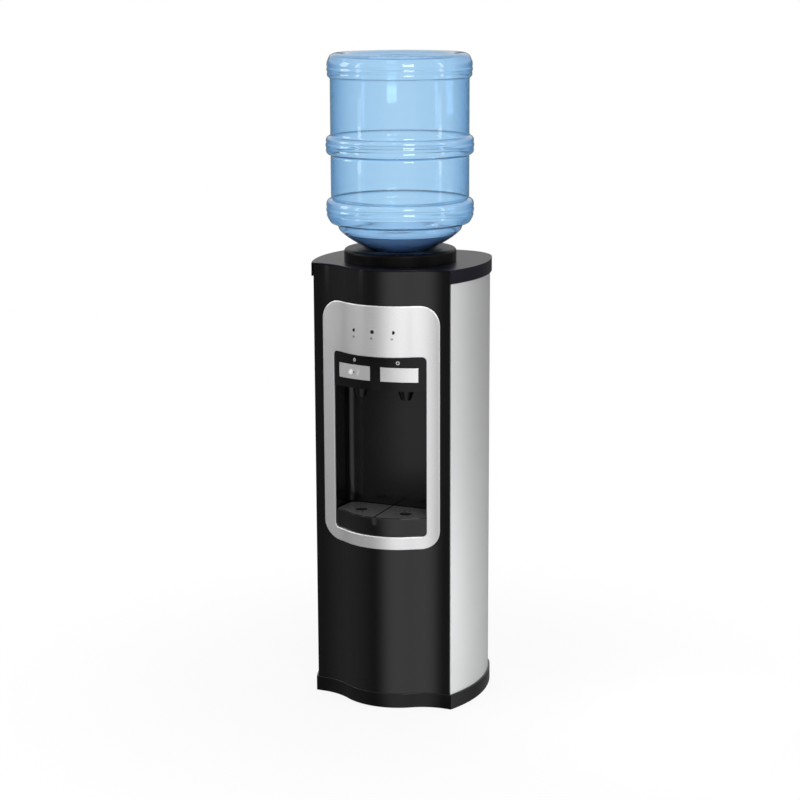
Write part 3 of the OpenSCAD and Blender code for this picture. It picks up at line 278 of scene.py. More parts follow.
class Form:
    """One closed mesh, gathered from grids of points."""

    def __init__(self) -> None:
        """Starts with no points."""
        self.points: list[Array] = []
        self.faces: list[Array] = []
        self.count = 0

    def grid(
        self,
        points: Array,
        around: bool = False,
        along: bool = False,
        keep: Array | None = None,
    ) -> Array:
        """Adds a grid: each cell between four neighbouring points is one face.

        Args:
            points: rows by columns by three coordinates.
            around: whether each row is closed, its last point joined to its first.
            along: whether the last row is joined to the first.
            keep: which cells have a face, or all of them.

        Returns:
            The index of each point, with closed rows and columns repeated at the end.
        """
        rows, columns = points.shape[:2]
        index = self.count + np.arange(rows * columns).reshape(rows, columns)
        self.points.append(points.reshape(-1, 3))
        self.count += rows * columns
        if around:
            index = np.hstack([index, index[:, :1]])
        if along:
            index = np.vstack([index, index[:1]])
        cells = np.stack([index[:-1, :-1], index[:-1, 1:], index[1:, 1:], index[1:, :-1]], -1)
        self.faces.append(cells.reshape(-1, 4) if keep is None else cells[keep])
        return index

    def lid(self, ring: Array) -> None:
        """Closes a ring with one face.

        Args:
            ring: the indices of its points.
        """
        self.faces.append(ring.reshape(1, -1))

    def loft(self, rings: list[Array], closed: bool = False) -> None:
        """Adds a skin through closed rings with as many points each, closed by lids or on itself.

        Args:
            rings: the rings in order, each an array of points.
            closed: whether the last ring is joined to the first, in place of the two lids.
        """
        index = self.grid(np.stack(rings), around=True, along=closed)
        if not closed:
            self.lid(index[0, :-1])
            self.lid(index[-1, :-1])

    def shell(self, outer: Array, inner: Array, keep: Array | None = None) -> None:
        """Adds a wall with a thickness, with a rim round it and round each gap in it.

        Args:
            outer: rows by columns by three coordinates of one face.
            inner: the same points on the other face.
            keep: which cells are there, or all of them.
        """
        rows, columns = outer.shape[:2]
        there = np.ones((rows - 1, columns - 1), bool) if keep is None else keep
        a = self.grid(outer, keep=there)
        b = self.grid(inner, keep=there)
        padded = np.pad(there, 1)
        i, j = np.nonzero(padded[1:-1, :-1] != padded[1:-1, 1:])
        self.faces.append(np.stack([a[i, j], a[i + 1, j], b[i + 1, j], b[i, j]], -1))
        i, j = np.nonzero(padded[:-1, 1:-1] != padded[1:, 1:-1])
        self.faces.append(np.stack([a[i, j], a[i, j + 1], b[i, j + 1], b[i, j]], -1))

    def turn(self, profile: Array, centre: tuple[float, float], steps: int = 128) -> None:
        """Adds a turned skin: the profile's radius times the cosine and sine of even angles about Z.

        Args:
            profile: closed line of radius and height.
            centre: X and Y of the axis.
            steps: number of steps round.
        """
        angle = np.linspace(0, 2 * math.pi, steps, endpoint=False)[:, None]
        x = centre[0] + profile[:, 0] * np.cos(angle)
        y = centre[1] + profile[:, 0] * np.sin(angle)
        z = np.broadcast_to(profile[:, 1], x.shape)
        self.grid(np.stack([x, y, z], -1), around=True, along=True)

    def mesh(self, name: str) -> bpy.types.Mesh:
        """Makes the mesh, with doubles merged and every face pointing outwards.

        Args:
            name: name of the mesh.

        Returns:
            The mesh.
        """
        loops = np.concatenate([part.ravel() for part in self.faces])
        sizes = np.concatenate([np.full(len(part), part.shape[1]) for part in self.faces])
        starts = np.concatenate([[0], np.cumsum(sizes)[:-1]])
        made = bpy.data.meshes.new(name)
        made.vertices.add(self.count)
        made.vertices.foreach_set("co", np.concatenate(self.points).ravel())
        made.loops.add(len(loops))
        made.loops.foreach_set("vertex_index", loops.astype(np.int32))
        made.polygons.add(len(sizes))
        made.polygons.foreach_set("loop_start", starts.astype(np.int32))
        made.update(calc_edges=True)
        work = bmesh.new()
        work.from_mesh(made)
        bmesh.ops.remove_doubles(work, verts=work.verts, dist=2e-6)
        bmesh.ops.dissolve_degenerate(work, edges=work.edges, dist=1e-6)
        bmesh.ops.recalc_face_normals(work, faces=work.faces)
        work.to_mesh(made)
        work.free()
        return made


def softened(mesh: bpy.types.Mesh, edge: float, sharp: float = 32.0) -> bpy.types.Object:
    """An object with smooth shading and softened edges.

    Args:
        mesh: its mesh.
        edge: width of the bevel along sharp edges, or 0 for none.
        sharp: angle in degrees above which an edge is sharp.

    Returns:
        The object, linked to the scene.
    """
    mesh.shade_smooth()
    mesh.set_sharp_from_angle(angle=math.radians(sharp))
    piece = bpy.data.objects.new(mesh.name, mesh)
    bpy.context.scene.collection.objects.link(piece)
    if edge > 0:
        bevel = piece.modifiers.new("edge", "BEVEL")
        bevel.width = edge
        bevel.segments = 2
        bevel.limit_method = "ANGLE"
        bevel.angle_limit = math.radians(sharp)
        bevel.harden_normals = True
    return piece


def lofted(name: str, rings: list[Array], closed: bool = False, sharp: float = 32.0) -> bpy.types.Object:
    """An object with one skin through closed rings.

    Args:
        name: name of the object.
        rings: the rings in order, each with as many points.
        closed: whether the last ring is joined to the first, in place of two lids.
        sharp: angle in degrees above which an edge is sharp.

    Returns:
        The object.
    """
    form = Form()
    form.loft(rings, closed)
    return softened(form.mesh(name), 0, sharp)


def turned(name: str, profile: Array, axis: tuple[float, float], sharp: float = 32.0) -> bpy.types.Object:
    """An object turned about an upright axis.

    Args:
        name: name of the object.
        profile: closed section of radius and height.
        axis: X and Y of the axis.
        sharp: angle in degrees above which an edge is sharp.

    Returns:
        The object.
    """
    form = Form()
    form.turn(profile, axis)
    return softened(form.mesh(name), 0, sharp)


def sheet(name: str, faces: list[Array], edge: float, keep: Array | None = None) -> bpy.types.Object:
    """An object that is one wall between two faces.

    Args:
        name: name of the object.
        faces: the two faces, each rows by columns by three coordinates.
        edge: width of the bevel along sharp edges.
        keep: which cells are there, or all of them.

    Returns:
        The object.
    """
    form = Form()
    form.shell(faces[0], faces[1], keep)
    return softened(form.mesh(name), edge)


def inset(line: Array, distance: float) -> Array:
    """An open line moved square to itself, to its left, by the slope between its neighbours.

    Args:
        line: points of the line.
        distance: how far it moves.

    Returns:
        The moved points.
    """
    ahead = np.gradient(line, axis=0)
    ahead /= np.linalg.norm(ahead, axis=1)[:, None]
    return line - distance * np.column_stack([ahead[:, 1], -ahead[:, 0]])


def refined(node: str, edge: float) -> bpy.types.Object:
    """A copy of a node of the frame, merged, with flat faces joined and its edges softened.

    Args:
        node: name of the node.
        edge: width of the bevel along sharp edges.

    Returns:
        The copy, which doesn't yet stand for the node.
    """
    mesh = frame["nodes"][node].data.copy()
    mesh.name = node + "_finished"
    mesh.materials.clear()
    work = bmesh.new()
    work.from_mesh(mesh)
    bmesh.ops.remove_doubles(work, verts=work.verts, dist=2e-6)
    bmesh.ops.dissolve_limit(work, angle_limit=math.radians(0.4), verts=work.verts, edges=work.edges)
    work.to_mesh(mesh)
    work.free()
    return softened(mesh, edge)


class Field:
    """A number or colour that varies over a surface, for use in plain expressions."""

    def __init__(self, graph: "Graph", socket: bpy.types.NodeSocket) -> None:
        """Wraps a socket of a graph."""
        self.graph = graph
        self.socket = socket

    def _maths(self, operation: str, *values: "Field | float") -> "Field":
        """One Math node on the given values."""
        inputs = dict(enumerate(values))
        return self.graph.node("ShaderNodeMath", {"operation": operation}, inputs)

    def __add__(self, other: "Field | float") -> "Field":
        """This plus other."""
        return self._maths("ADD", self, other)

    def __sub__(self, other: "Field | float") -> "Field":
        """This minus other."""
        return self._maths("SUBTRACT", self, other)

    def __rsub__(self, other: float) -> "Field":
        """Other minus this."""
        return self._maths("SUBTRACT", other, self)

    def __mul__(self, other: "Field | float") -> "Field":
        """This times other."""
        return self._maths("MULTIPLY", self, other)

    def __pow__(self, other: float) -> "Field":
        """This to a power."""
        return self._maths("POWER", self, other)

    __radd__ = __add__
    __rmul__ = __mul__

    def clipped(self) -> "Field":
        """This, kept between 0 and 1."""
        return self.graph.node("ShaderNodeClamp", {}, {0: self})


class Graph:
    """The nodes of one material or of the world."""

    def __init__(self, tree: bpy.types.NodeTree) -> None:
        """Starts with an empty tree."""
        self.tree = tree
        tree.nodes.clear()

    def node(
        self,
        kind: str,
        settings: dict[str, object],
        inputs: dict[str | int, object],
        output: str | int = 0,
    ) -> Field:
        """Adds one node.

        Args:
            kind: type of the node.
            settings: its own settings; stops are the places and grey values of a colour ramp.
            inputs: a value or a Field for each socket, by name or number.
            output: the socket that is wanted.

        Returns:
            The wanted output.
        """
        made = self.tree.nodes.new(kind)
        for key, value in settings.items():
            if key == "stops":
                self._ramp(made.color_ramp, value)
            else:
                setattr(made, key, value)
        for key, value in inputs.items():
            if isinstance(value, Field):
                self.tree.links.new(value.socket, made.inputs[key])
            else:
                made.inputs[key].default_value = value
        return Field(self, made.outputs[output]) if len(made.outputs) else Field(self, None)

    def _ramp(self, ramp: bpy.types.ColorRamp, stops: list[tuple[float, float]]) -> None:
        """Sets a colour ramp's stops, each a place with a grey value."""
        while len(ramp.elements) < len(stops):
            ramp.elements.new(0.5)
        for element, (place, value) in zip(ramp.elements, stops):
            element.position = place
            element.color = (value, value, value, 1.0)

    def place(self, stretch: tuple[float, float, float] = (1, 1, 1)) -> Field:
        """Object coordinates, each multiplied by its share of stretch."""
        here = self.node("ShaderNodeTexCoord", {}, {}, "Object")
        if stretch == (1, 1, 1):
            return here
        return self.node("ShaderNodeMapping", {}, {"Vector": here, "Scale": stretch})

    def noise(self, place: Field, scale: float, detail: float = 3.0) -> Field:
        """Fractal noise between 0 and 1, with scale in cells a metre."""
        return self.node("ShaderNodeTexNoise", {}, {"Vector": place, "Scale": scale, "Detail": detail})

    def blend(self, factor: Field, low: object, high: object) -> Field:
        """A colour that goes from low to high with the factor."""
        return self.node("ShaderNodeMix", {"data_type": "RGBA"}, {"Factor": factor, 6: low, 7: high}, 2)

    def height(self, level: Field, distance: float, strength: float = 1.0) -> Field:
        """A bump whose full height is distance in metres."""
        return self.node("ShaderNodeBump", {}, {"Height": level, "Distance": distance, "Strength": strength})

    def surface(self, **inputs: object) -> None:
        """Ends the graph in one Principled shader; an underscore in a name stands for a space."""
        named = {key.replace("_", " "): value for key, value in inputs.items()}
        shader = self.node("ShaderNodeBsdfPrincipled", {}, named)
        self.node("ShaderNodeOutputMaterial", {}, {"Surface": shader})


def opaque(colour: Colour, gain: float = 1.0) -> tuple[float, float, float, float]:
    """A colour with full alpha, brightened or darkened by gain."""
    return (*(min(1.0, part * gain) for part in colour), 1.0)


@dataclass(frozen=True)
class Moulded:
    """Moulded plastic or rubber: a little uneven in colour and gloss, with a fine skin."""

    colour: Colour
    roughness: float
    skin: float = 0.00002
    scale: float = 900.0
    spread: float = 0.05
    specular: float = 0.5

    def lay(self, graph: Graph) -> None:
        """Builds the shader: slow noise shifts colour and gloss, fine noise lifts the surface."""
        place = graph.place()
        slow = graph.noise(place, 14.0)
        fine = graph.noise(place, self.scale, 2.0)
        graph.surface(
            Base_Color=graph.blend(slow, opaque(self.colour, 0.86), opaque(self.colour, 1.14)),
            Roughness=(self.roughness - self.spread / 2) + slow * self.spread,
            Normal=graph.height(fine, self.skin),
            Specular_IOR_Level=self.specular,
        )


@dataclass(frozen=True)
class ShadePaintedGrille:
    """The grille's plastic: pale on its face, with painted shade, near black, in its two targets, its groove
    and its edge.
    """

    colour: Colour
    roughness: float
    middle: tuple[float, float]
    radius: float
    groove: float
    face: float

    def lay(self, graph: Graph) -> None:
        """Builds the shader: the pale share is a product of three distances, each cut to 0 to 1; outside it
        the colour is a painted shade.
        """
        place = graph.place()
        x, y, z = (graph.node("ShaderNodeSeparateXYZ", {}, {0: place}, axis) for axis in "XYZ")
        across = (x * x) ** 0.5
        beside, behind = across - self.middle[0], y - self.middle[1]
        away = (beside * beside + behind * behind) ** 0.5
        # painted shade: pale is 0 inside the two targets, along the middle groove and on the sides below the
        # face, where the colour goes near black
        pale = ((away - self.radius) * 900.0).clipped() * ((across - self.groove) * 2500.0).clipped()
        pale = pale * ((z - self.face) * 3000.0).clipped()
        slow = graph.noise(place, 14.0)
        colour = graph.blend(slow, opaque(self.colour, 0.86), opaque(self.colour, 1.14))
        graph.surface(
            Base_Color=graph.blend(pale, opaque(self.colour, 0.04), colour),
            Roughness=0.8 - pale * (0.8 - self.roughness),
            Normal=graph.height(graph.noise(place, 1300.0, 2.0), 0.00002),
            Specular_IOR_Level=0.3,
        )


@dataclass(frozen=True)
class Brushed:
    """Brushed metal: fine scratches that run along X or Z."""

    colour: Colour
    roughness: float
    along: str = "X"
    depth: float = 0.00002
    metallic: float = 1.0

    def lay(self, graph: Graph) -> None:
        """Builds the shader: noise stretched along the brushing shifts gloss, colour and height."""
        stretch = (12, 900, 1500) if self.along == "X" else (900, 900, 12)
        place = graph.place(stretch)
        line = graph.noise(place, 1.0, 4.0)
        slow = graph.noise(graph.place(), 9.0)
        graph.surface(
            Base_Color=graph.blend(line, opaque(self.colour, 0.9), opaque(self.colour, 1.08)),
            Metallic=self.metallic,
            Roughness=(self.roughness - 0.08) + line * 0.12 + slow * 0.04,
            Normal=graph.height(line, self.depth, 0.6),
        )


@dataclass(frozen=True)
class Painted:
    """Sprayed sheet metal: a faint orange peel under a satin coat, with metal flake."""

    colour: Colour
    roughness: float
    metallic: float = 0.0
    peel: float = 0.00003

    def lay(self, graph: Graph) -> None:
        """Builds the shader: coarse noise makes the peel and fine noise the flake."""
        place = graph.place()
        peel = graph.noise(place, 260.0, 2.0)
        flake = graph.noise(place, 2600.0, 1.0)
        slow = graph.noise(place, 6.0)
        graph.surface(
            Base_Color=graph.blend(flake, opaque(self.colour, 0.93), opaque(self.colour, 1.07)),
            Metallic=self.metallic,
            Roughness=(self.roughness - 0.03) + slow * 0.06,
            Normal=graph.height(peel, self.peel, 0.5),
            Coat_Weight=0.25,
            Coat_Roughness=0.2,
        )


@dataclass(frozen=True)
class Clear:
    """Clear tinted plastic: light passes it, and it looks deeper where it is seen edge on."""

    colour: Colour
    deep: Colour
    neck: Colour
    roughness: float = 0.04
    ior: float = 1.4
    clear: float = 1.0
    neck_top: float = 0.9
    neck_low: float = 0.86

    def lay(self, graph: Graph) -> None:
        """Builds the shader: facing turns the tint deep at the edge, and height deepens the neck."""
        edge_on = graph.node("ShaderNodeLayerWeight", {}, {"Blend": 0.5}, "Facing")
        facing = (edge_on**1.8 * 1.4).clipped()
        place = graph.place()
        high = graph.node("ShaderNodeSeparateXYZ", {}, {0: place}, "Z")
        limits = {"Value": high, 1: self.neck_top, 2: self.neck_low}
        low = graph.node("ShaderNodeMapRange", {"interpolation_type": "SMOOTHSTEP"}, limits)
        body = graph.blend(facing, opaque(self.colour), opaque(self.deep))
        ripple = graph.noise(graph.place((1, 1, 0.3)), 22.0, 1.0)
        graph.surface(
            Base_Color=graph.blend(low, body, opaque(self.neck)),
            Roughness=self.roughness + ripple * self.roughness,
            IOR=self.ior,
            Transmission_Weight=self.clear,
            Normal=graph.height(ripple, 0.0004, 0.5),
        )


def finished(name: str, finish: Moulded | ShadePaintedGrille | Brushed | Painted | Clear) -> bpy.types.Material:
    """The material of a finish, made when it is first asked for.

    Args:
        name: name of the finish.
        finish: the finish.

    Returns:
        The material.
    """
    made = bpy.data.materials.get(name + "_finish")
    if made is None:
        made = bpy.data.materials.new(name + "_finish")
        made.use_nodes = True
        finish.lay(Graph(made.node_tree))
    return made


class Finishes(Enum):
    """Finishes with a name each."""

    def material(self) -> bpy.types.Material:
        """The finish's material, made when it is first asked for."""
        return finished(self.name, self.value)


class Slot(Finishes):
    """The record's material slots, with the finish of each."""

    black_gloss = Moulded((0.003, 0.0031, 0.0031), 0.14, 0.000004, 500, 0.03)
    black_satin = Moulded((0.0035, 0.0035, 0.0036), 0.22, 0.000006, 1100, specular=0.26)
    charcoal_plastic = Moulded((0.005, 0.005, 0.0102), 0.3, 0.00001, 1300, specular=0.1)
    brushed_silver = Brushed((0.8, 0.8, 0.81), 0.38, metallic=0.82)
    button_silver = Brushed((0.84, 0.84, 0.85), 0.36, metallic=0.84)
    silver_paint = Painted((0.66, 0.665, 0.67), 0.38, 0.62)
    black_paint = Painted((0.018, 0.018, 0.019), 0.4)
    zinc_steel = Brushed((0.62, 0.63, 0.66), 0.36, "Z")
    stainless = Brushed((0.66, 0.66, 0.67), 0.28, "Z")
    rubber = Moulded((0.03, 0.03, 0.03), 0.72, 0.00004, 1400)
    clear_blue = Clear((0.61, 0.79, 0.935), (0.045, 0.27, 0.54), (0.48, 0.67, 0.95))
    cap_blue = Moulded((0.01, 0.08, 0.4), 0.24, 0.000004, 400)
    smoked_lens = Moulded((0.008, 0.008, 0.009), 0.08, 0.0, 400)
    circuit_board = Moulded((0.02, 0.13, 0.06), 0.4, 0.00003, 1800)
    white_plastic = Moulded((0.82, 0.82, 0.81), 0.3, 0.000005, 700)
    white_foam = Moulded((0.86, 0.86, 0.83), 0.85, 0.0004, 260)
    copper = Brushed((0.72, 0.36, 0.2), 0.26, "Z")
    phenolic = Moulded((0.1, 0.06, 0.04), 0.4, 0.00002, 1500)
    silicone = Moulded((0.74, 0.74, 0.7), 0.35, 0.000005, 500)
    red_plastic = Moulded((0.5, 0.012, 0.01), 0.25, 0.000004, 500)
    green_plastic = Moulded((0.012, 0.22, 0.06), 0.25, 0.000004, 500)


class Look(Finishes):
    """Finishes of single pieces, which differ a little from their slot's."""

    collar = Moulded((0.003, 0.003, 0.0031), 0.32, 0.00001, 1300, specular=0.06)
    liner = Moulded((0.003, 0.0031, 0.0031), 0.16, 0.000004, 500, specular=0.42)
    water = Clear((0.86, 0.92, 1.0), (0.86, 0.92, 1.0), (0.86, 0.92, 1.0), 0.02, 1.05, 0.4)


def fit(
    piece: bpy.types.Object,
    body: str,
    slot: Slot,
    *nodes: str,
    look: bpy.types.Material | None = None,
) -> None:
    """Puts a finished piece on its body, in place of the nodes that it stands for.

    Args:
        piece: the piece.
        body: the body that it rides on.
        slot: its slot.
        nodes: names of the nodes that it replaces.
        look: its material, where that isn't the slot's own.
    """
    piece.data.materials.clear()
    piece.data.materials.append(look or slot.material())
    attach(piece, body)
    if nodes:
        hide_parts(*nodes)
    log.info("%s: %d faces on %s", piece.name, len(piece.data.polygons), body)


@dataclass
class Cabinet:
    """Plinth, panels, feet and top cover."""

    overhang: float = 3.46 * MM
    lip: float = 0.6 * MM
    wall: float = 3 * MM
    foot: float = 1 * MM
    deck: float = 29.3 * MM
    skin: float = 2.5 * MM
    steel: float = 1.2 * MM
    plate_low: float = 826.5 * MM
    top: float = 830 * MM
    skirt: float = 805 * MM
    opening: tuple[float, float, float] = (93.8 * MM, 331.6 * MM, 671.7 * MM)
    cover_hole: float = 60 * MM
    collar_y: float = -23 * MM
    seam: float = 86.0

    def plinth(self) -> bpy.types.Object:
        """The plinth: the plan's outline carried down over a rounded edge, hollow from below."""
        soft = 1.2 * MM
        out, front, thick = self.overhang, self.lip, self.wall
        steps = [(soft + 6 * MM, self.deck)]
        for a in np.linspace(0, math.pi / 2, 6):
            steps.append((soft - soft * math.sin(a), self.deck - soft + soft * math.cos(a)))
        steps += [(0, self.foot + soft), (soft * 0.3, self.foot + soft * 0.3), (soft, self.foot)]
        steps += [(thick, self.foot), (thick, self.deck - thick)]
        return lofted("plinth_shell", [at_height(PLAN.outline(out - d, front - d), z) for d, z in steps])

    def front(self) -> bpy.types.Object:
        """The front panel: its bow swept up the cabinet, with a gap behind the bezel's frame."""
        half, low, high = self.opening
        edge = float(PLAN.side(-PLAN.wing))
        margin = np.linspace(half, edge, 21)
        x = np.unique(np.concatenate([np.linspace(-half, half, 81), margin, -margin]))
        bands = ((self.deck, low, 13), (low, high, 13), (high, self.plate_low, 7))
        z = np.unique(np.concatenate([np.linspace(*band) for band in bands]))
        across, up = np.meshgrid(x, z)
        mid_x, mid_z = (x[1:] + x[:-1]) / 2, (z[1:] + z[:-1]) / 2
        keep = ~((np.abs(mid_x) < half)[None, :] & ((mid_z > low) & (mid_z < high))[:, None])
        faces = [np.stack([across, PLAN.bow(across, out), up], -1) for out in (0, -self.skin)]
        return sheet("front_skin", faces, 0.5 * MM, keep)

    def flank(self, side: int) -> bpy.types.Object:
        """A side panel: the side wall's line, from the front edge to the rear seam, swept up.

        Args:
            side: 1 for the right panel and -1 for the left one.

        Returns:
            The panel.
        """
        start = -PLAN.wing + self.skin + 0.3 * MM
        z = np.linspace(self.deck, self.plate_low, 9)
        faces = []
        for out in (0, -self.steel):
            line = PLAN.wall(out, start, self.seam, 32) * [side, 1]
            faces.append(np.stack([at_height(line, height) for height in z]))
        return sheet("right_side_skin" if side > 0 else "left_side_skin", faces, 0.35 * MM)

    def cover(self) -> bpy.types.Object:
        """The top cover: rings from its hole over the plate's edge down the skirt and back inside."""
        soft, chamfer = 1.1 * MM, 0.5 * MM
        skirted = PLAN.outline(0, 0)[:, 1] > -PLAN.wing - 0.01 * MM
        skirted[: PLAN.across + 1] = False
        low = np.where(skirted, self.skirt, self.plate_low + 0.4 * MM)
        out = self.overhang
        rim = PLAN.outline(out - 3 * MM, out - 3 * MM)
        away = rim - [0, self.collar_y]
        hole = away / np.linalg.norm(away, axis=1)[:, None] * self.cover_hole + [0, self.collar_y]
        inner = PLAN.outline(0.3 * MM, 0.3 * MM)
        rings = [at_height(hole, self.plate_low), at_height(hole, self.top), at_height(rim, self.top)]
        for a in np.radians(np.linspace(0, 90, 6)):
            d = out - soft + soft * math.sin(a)
            rings.append(at_height(PLAN.outline(d, d), self.top - soft + soft * math.cos(a)))
        rings.append(at_height(PLAN.outline(out, out), low + chamfer))
        rings.append(at_height(PLAN.outline(out - chamfer, out - chamfer), low))
        rings += [at_height(inner, np.minimum(low, self.plate_low)), at_height(inner, self.plate_low)]
        return lofted("cover_plate", rings, closed=True)

    def build(self) -> None:
        """Builds and fits the cabinet's pieces."""
        fit(self.plinth(), "cabinet", Slot.black_satin, "base_plinth")
        fit(self.front(), "cabinet", Slot.black_gloss, "front_panel")
        fit(self.flank(-1), "cabinet", Slot.silver_paint, "left_side_panel")
        fit(self.flank(1), "cabinet", Slot.silver_paint, "right_side_panel")
        fit(self.cover(), "cabinet", Slot.charcoal_plastic, "top_cover")
        fit(refined("rubber_feet", 0.4 * MM), "cabinet", Slot.rubber, "rubber_feet")
        fit(refined("back_panel", 0.3 * MM), "cabinet", Slot.black_paint, "back_panel")
        fit(refined("panel_screws", 0.1 * MM), "cabinet", Slot.zinc_steel, "panel_screws")


@dataclass
class BottleStand:
    """Collar with its well and probe, and the bottle with its cap."""

    axis: tuple[float, float] = (0.0, -23 * MM)
    collar_top: float = 853 * MM
    collar_low: float = 830 * MM
    collar_radius: float = 103.7 * MM
    collar_bend: float = 6 * MM
    collar_wall: float = 3 * MM
    funnel_radius: float = 72 * MM
    well_radius: float = 38 * MM
    well_depth: float = 63 * MM
    probe_bore: float = 8.6 * MM
    ring_radius: float = 136 * MM
    barrel_radius: float = 127 * MM
    neck_radius: float = 27.5 * MM
    neck_length: float = 40 * MM
    seat_radius: float = 70.4 * MM
    seat_gap: float = 0.3 * MM
    dome: float = 117 * MM
    dome_radius: float = 112 * MM
    lean: float = 5 * MM
    bulge: float = 2.2 * MM
    level: float = 882 * MM
    cap_radius: float = 23 * MM
    wall: float = 2 * MM
    rings: tuple[float, float] = (910 * MM, 1025 * MM)
    ring_height: float = 34 * MM
    crown_ring: float = 1164 * MM
    top: float = 1208 * MM

    def collar(self) -> bpy.types.Object:
        """The collar: its section, a rounded rim over a funnel and a well, turned about its axis."""
        low, high, radius, wall = self.collar_low, self.collar_top, self.collar_radius, self.collar_wall
        bend, soft, well, depth = self.collar_bend, 0.6 * MM, self.well_radius, high - self.well_depth
        foot = [[radius - wall, low], [radius - soft, low], [radius, low + soft]]
        outside = np.vstack([foot, arc(radius - bend, high - bend, bend, 0, 90, 10)])
        funnel = rounded([
            (self.funnel_radius, high), (67.4 * MM, high - 2.6 * MM), (52 * MM, low - 5 * MM),
            (well, low - 18 * MM), (well, depth), (self.probe_bore, depth),
        ], 3 * MM)
        under = np.array([
            (8.6, 787), (41, 787), (41, 810.5), (56, 825), (58, 830), (71.4, 847.5), (73.4, 850), (97.7, 850),
        ]) * MM
        inside = arc(radius - bend, high - bend, bend - wall, 90, 0, 6)
        return turned("collar_ring", np.vstack([outside, funnel, under, inside]), self.axis)

    @staticmethod
    def hoop(
        radius: float,
        low: float,
        high: float,
        bends: list[tuple[float, int]],
        start: float = -90,
    ) -> Array:
        """Section of a ring of the bottle: an arc, a straight wall and a second arc.

        Args:
            radius: outer radius of the ring.
            low: height of the wall's lower end.
            high: height of the wall's upper end.
            bends: radius and number of steps of the lower and the upper arc.
            start: angle in degrees at which the lower arc starts.

        Returns:
            The points of radius and height, from below.
        """
        (below, first), (above, last) = bends
        wall = np.column_stack([np.full(17, radius), np.linspace(low, high, 18)[1:]])
        foot = arc(radius - below, low, below, start, 0, first)
        return np.vstack([foot, wall, arc(radius - above, high, above, 0, 90, last)[1:]])

    def profile(self) -> Array:
        """Outer section of the bottle from its mouth to the middle of its top.

        The shoulder is half an ellipse, raised by a sine towards its middle. The rings bulge by the
        square of the height from their middles, with shallow grooves that follow a bell curve.
        """
        rise = self.dome * math.sqrt(1 - (self.seat_radius / self.ring_radius) ** 2)
        high = self.collar_top + self.seat_gap + rise
        r = np.linspace(self.neck_radius + 3 * MM, self.dome_radius, 24)
        share = (r - r[0]) / (r[-1] - r[0])
        dome = np.column_stack([r, high - self.dome * np.sqrt(1 - (r / self.ring_radius) ** 2)])
        dome[:, 1] += self.lean * np.sin(math.pi * share)
        b, g = self.barrel_radius, self.ring_radius
        n, under = self.neck_radius, dome[0, 1]
        neck = [[n, under - self.neck_length], [n, under - 4 * MM], [n + 0.6 * MM, under - 1.4 * MM]]
        z1, z2, h, z3 = self.rings[0], self.rings[1], self.ring_height, self.crown_ring
        c = g - 3 * MM
        waist = [[113.8 * MM, z1 - 19 * MM], [115 * MM, z1 - 13.5 * MM], [116.5 * MM, z1 - 11.6 * MM]]
        bend, over_bend = (6 * MM, 8), (18 * MM, 14)
        line = [neck, dome, waist]
        line.append(self.hoop(g, z1 + 5 * MM, z1 + h - 6 * MM, [(16 * MM, 10), bend], -76))
        low = [(b - 1.5 * MM, z1 + h + 1.5 * MM), (b, z1 + h + 5 * MM)]
        low += [(b, z2 - 4 * MM), (b - 1.5 * MM, z2 - 1.2 * MM)]
        line.append(rounded(low, 2 * MM))
        line.append(self.hoop(g, z2 + 6 * MM, z2 + h - 6 * MM, [bend, bend]))
        line.append(rounded([(b + 1 * MM, z2 + h + 1 * MM), (b, z2 + h + 4 * MM), (b, z3 - 3 * MM)], 2 * MM))
        line.append(self.hoop(c, z3 + 4 * MM, self.top - 18 * MM, [(4 * MM, 6), over_bend]))
        over = [(-18, 0), (-32, -1.5), (-44, -7), (-90, -9), (-133, -9.5)]
        line.append(rounded([(c + x * MM, self.top + z * MM) for x, z in over], 6 * MM)[1:])
        points = np.vstack(line)
        grooves = [z1 + 9 * MM, z1 + 19 * MM, z2 + 12 * MM, z2 + 22 * MM, z3 + 10 * MM, z3 + 19 * MM]
        swell = np.exp(-(((points[:, 1, None] - grooves) / (2.2 * MM)) ** 2)).sum(1)
        middles = np.array([z1 + h / 2, z2 + h / 2, z3 + h / 2])
        fall = (np.min(np.abs(points[:, 1, None] - middles), axis=1) / (h / 2)) ** 2
        onto = np.clip((points[:, 0] - b) / (6 * MM), 0, 1)
        points[:, 0] -= onto * (swell * 1.1 + np.minimum(fall, 1) * self.bulge / MM) * MM
        points[-1, 0] = 0
        return points

    def bottle(self) -> bpy.types.Object:
        """The blown bottle: its outer section and the same section a wall further in, turned."""
        outer = self.profile()
        inner = inset(outer, self.wall)
        inner[-1, 0] = 0
        inner[0] = outer[0] - [self.wall, 0]
        return turned("bottle_shell", np.vstack([outer, inner[::-1]]), self.axis, 60)

    def water(self) -> bpy.types.Object:
        """The last of the water: a ring inside the shoulder, up to a level surface."""
        outer = self.profile()
        near = outer[(outer[:, 0] > self.neck_radius + 2.5 * MM) & (outer[:, 1] < self.level + 2 * MM)]
        wet = inset(near, self.wall + 0.4 * MM)
        wet[:, 1] = np.minimum(wet[:, 1], self.level)
        inside = [[self.cap_radius, self.level], [self.cap_radius, wet[0, 1]]]
        return turned("water_left", np.vstack([wet, inside]), self.axis, 50)

    def build(self) -> None:
        """Builds and fits the stand's pieces."""
        collar = Look.collar.material()
        fit(self.collar(), "cabinet", Slot.charcoal_plastic, "bottle_collar", look=collar)
        fit(self.bottle(), "bottle", Slot.clear_blue, "bottle")
        fit(self.water(), "bottle", Slot.clear_blue, look=Look.water.material())
        fit(refined("bottle_cap", 0.4 * MM), "bottle", Slot.cap_blue, "bottle_cap")
        fit(refined("water_probe", 0.3 * MM), "cabinet", Slot.white_plastic, "water_probe")


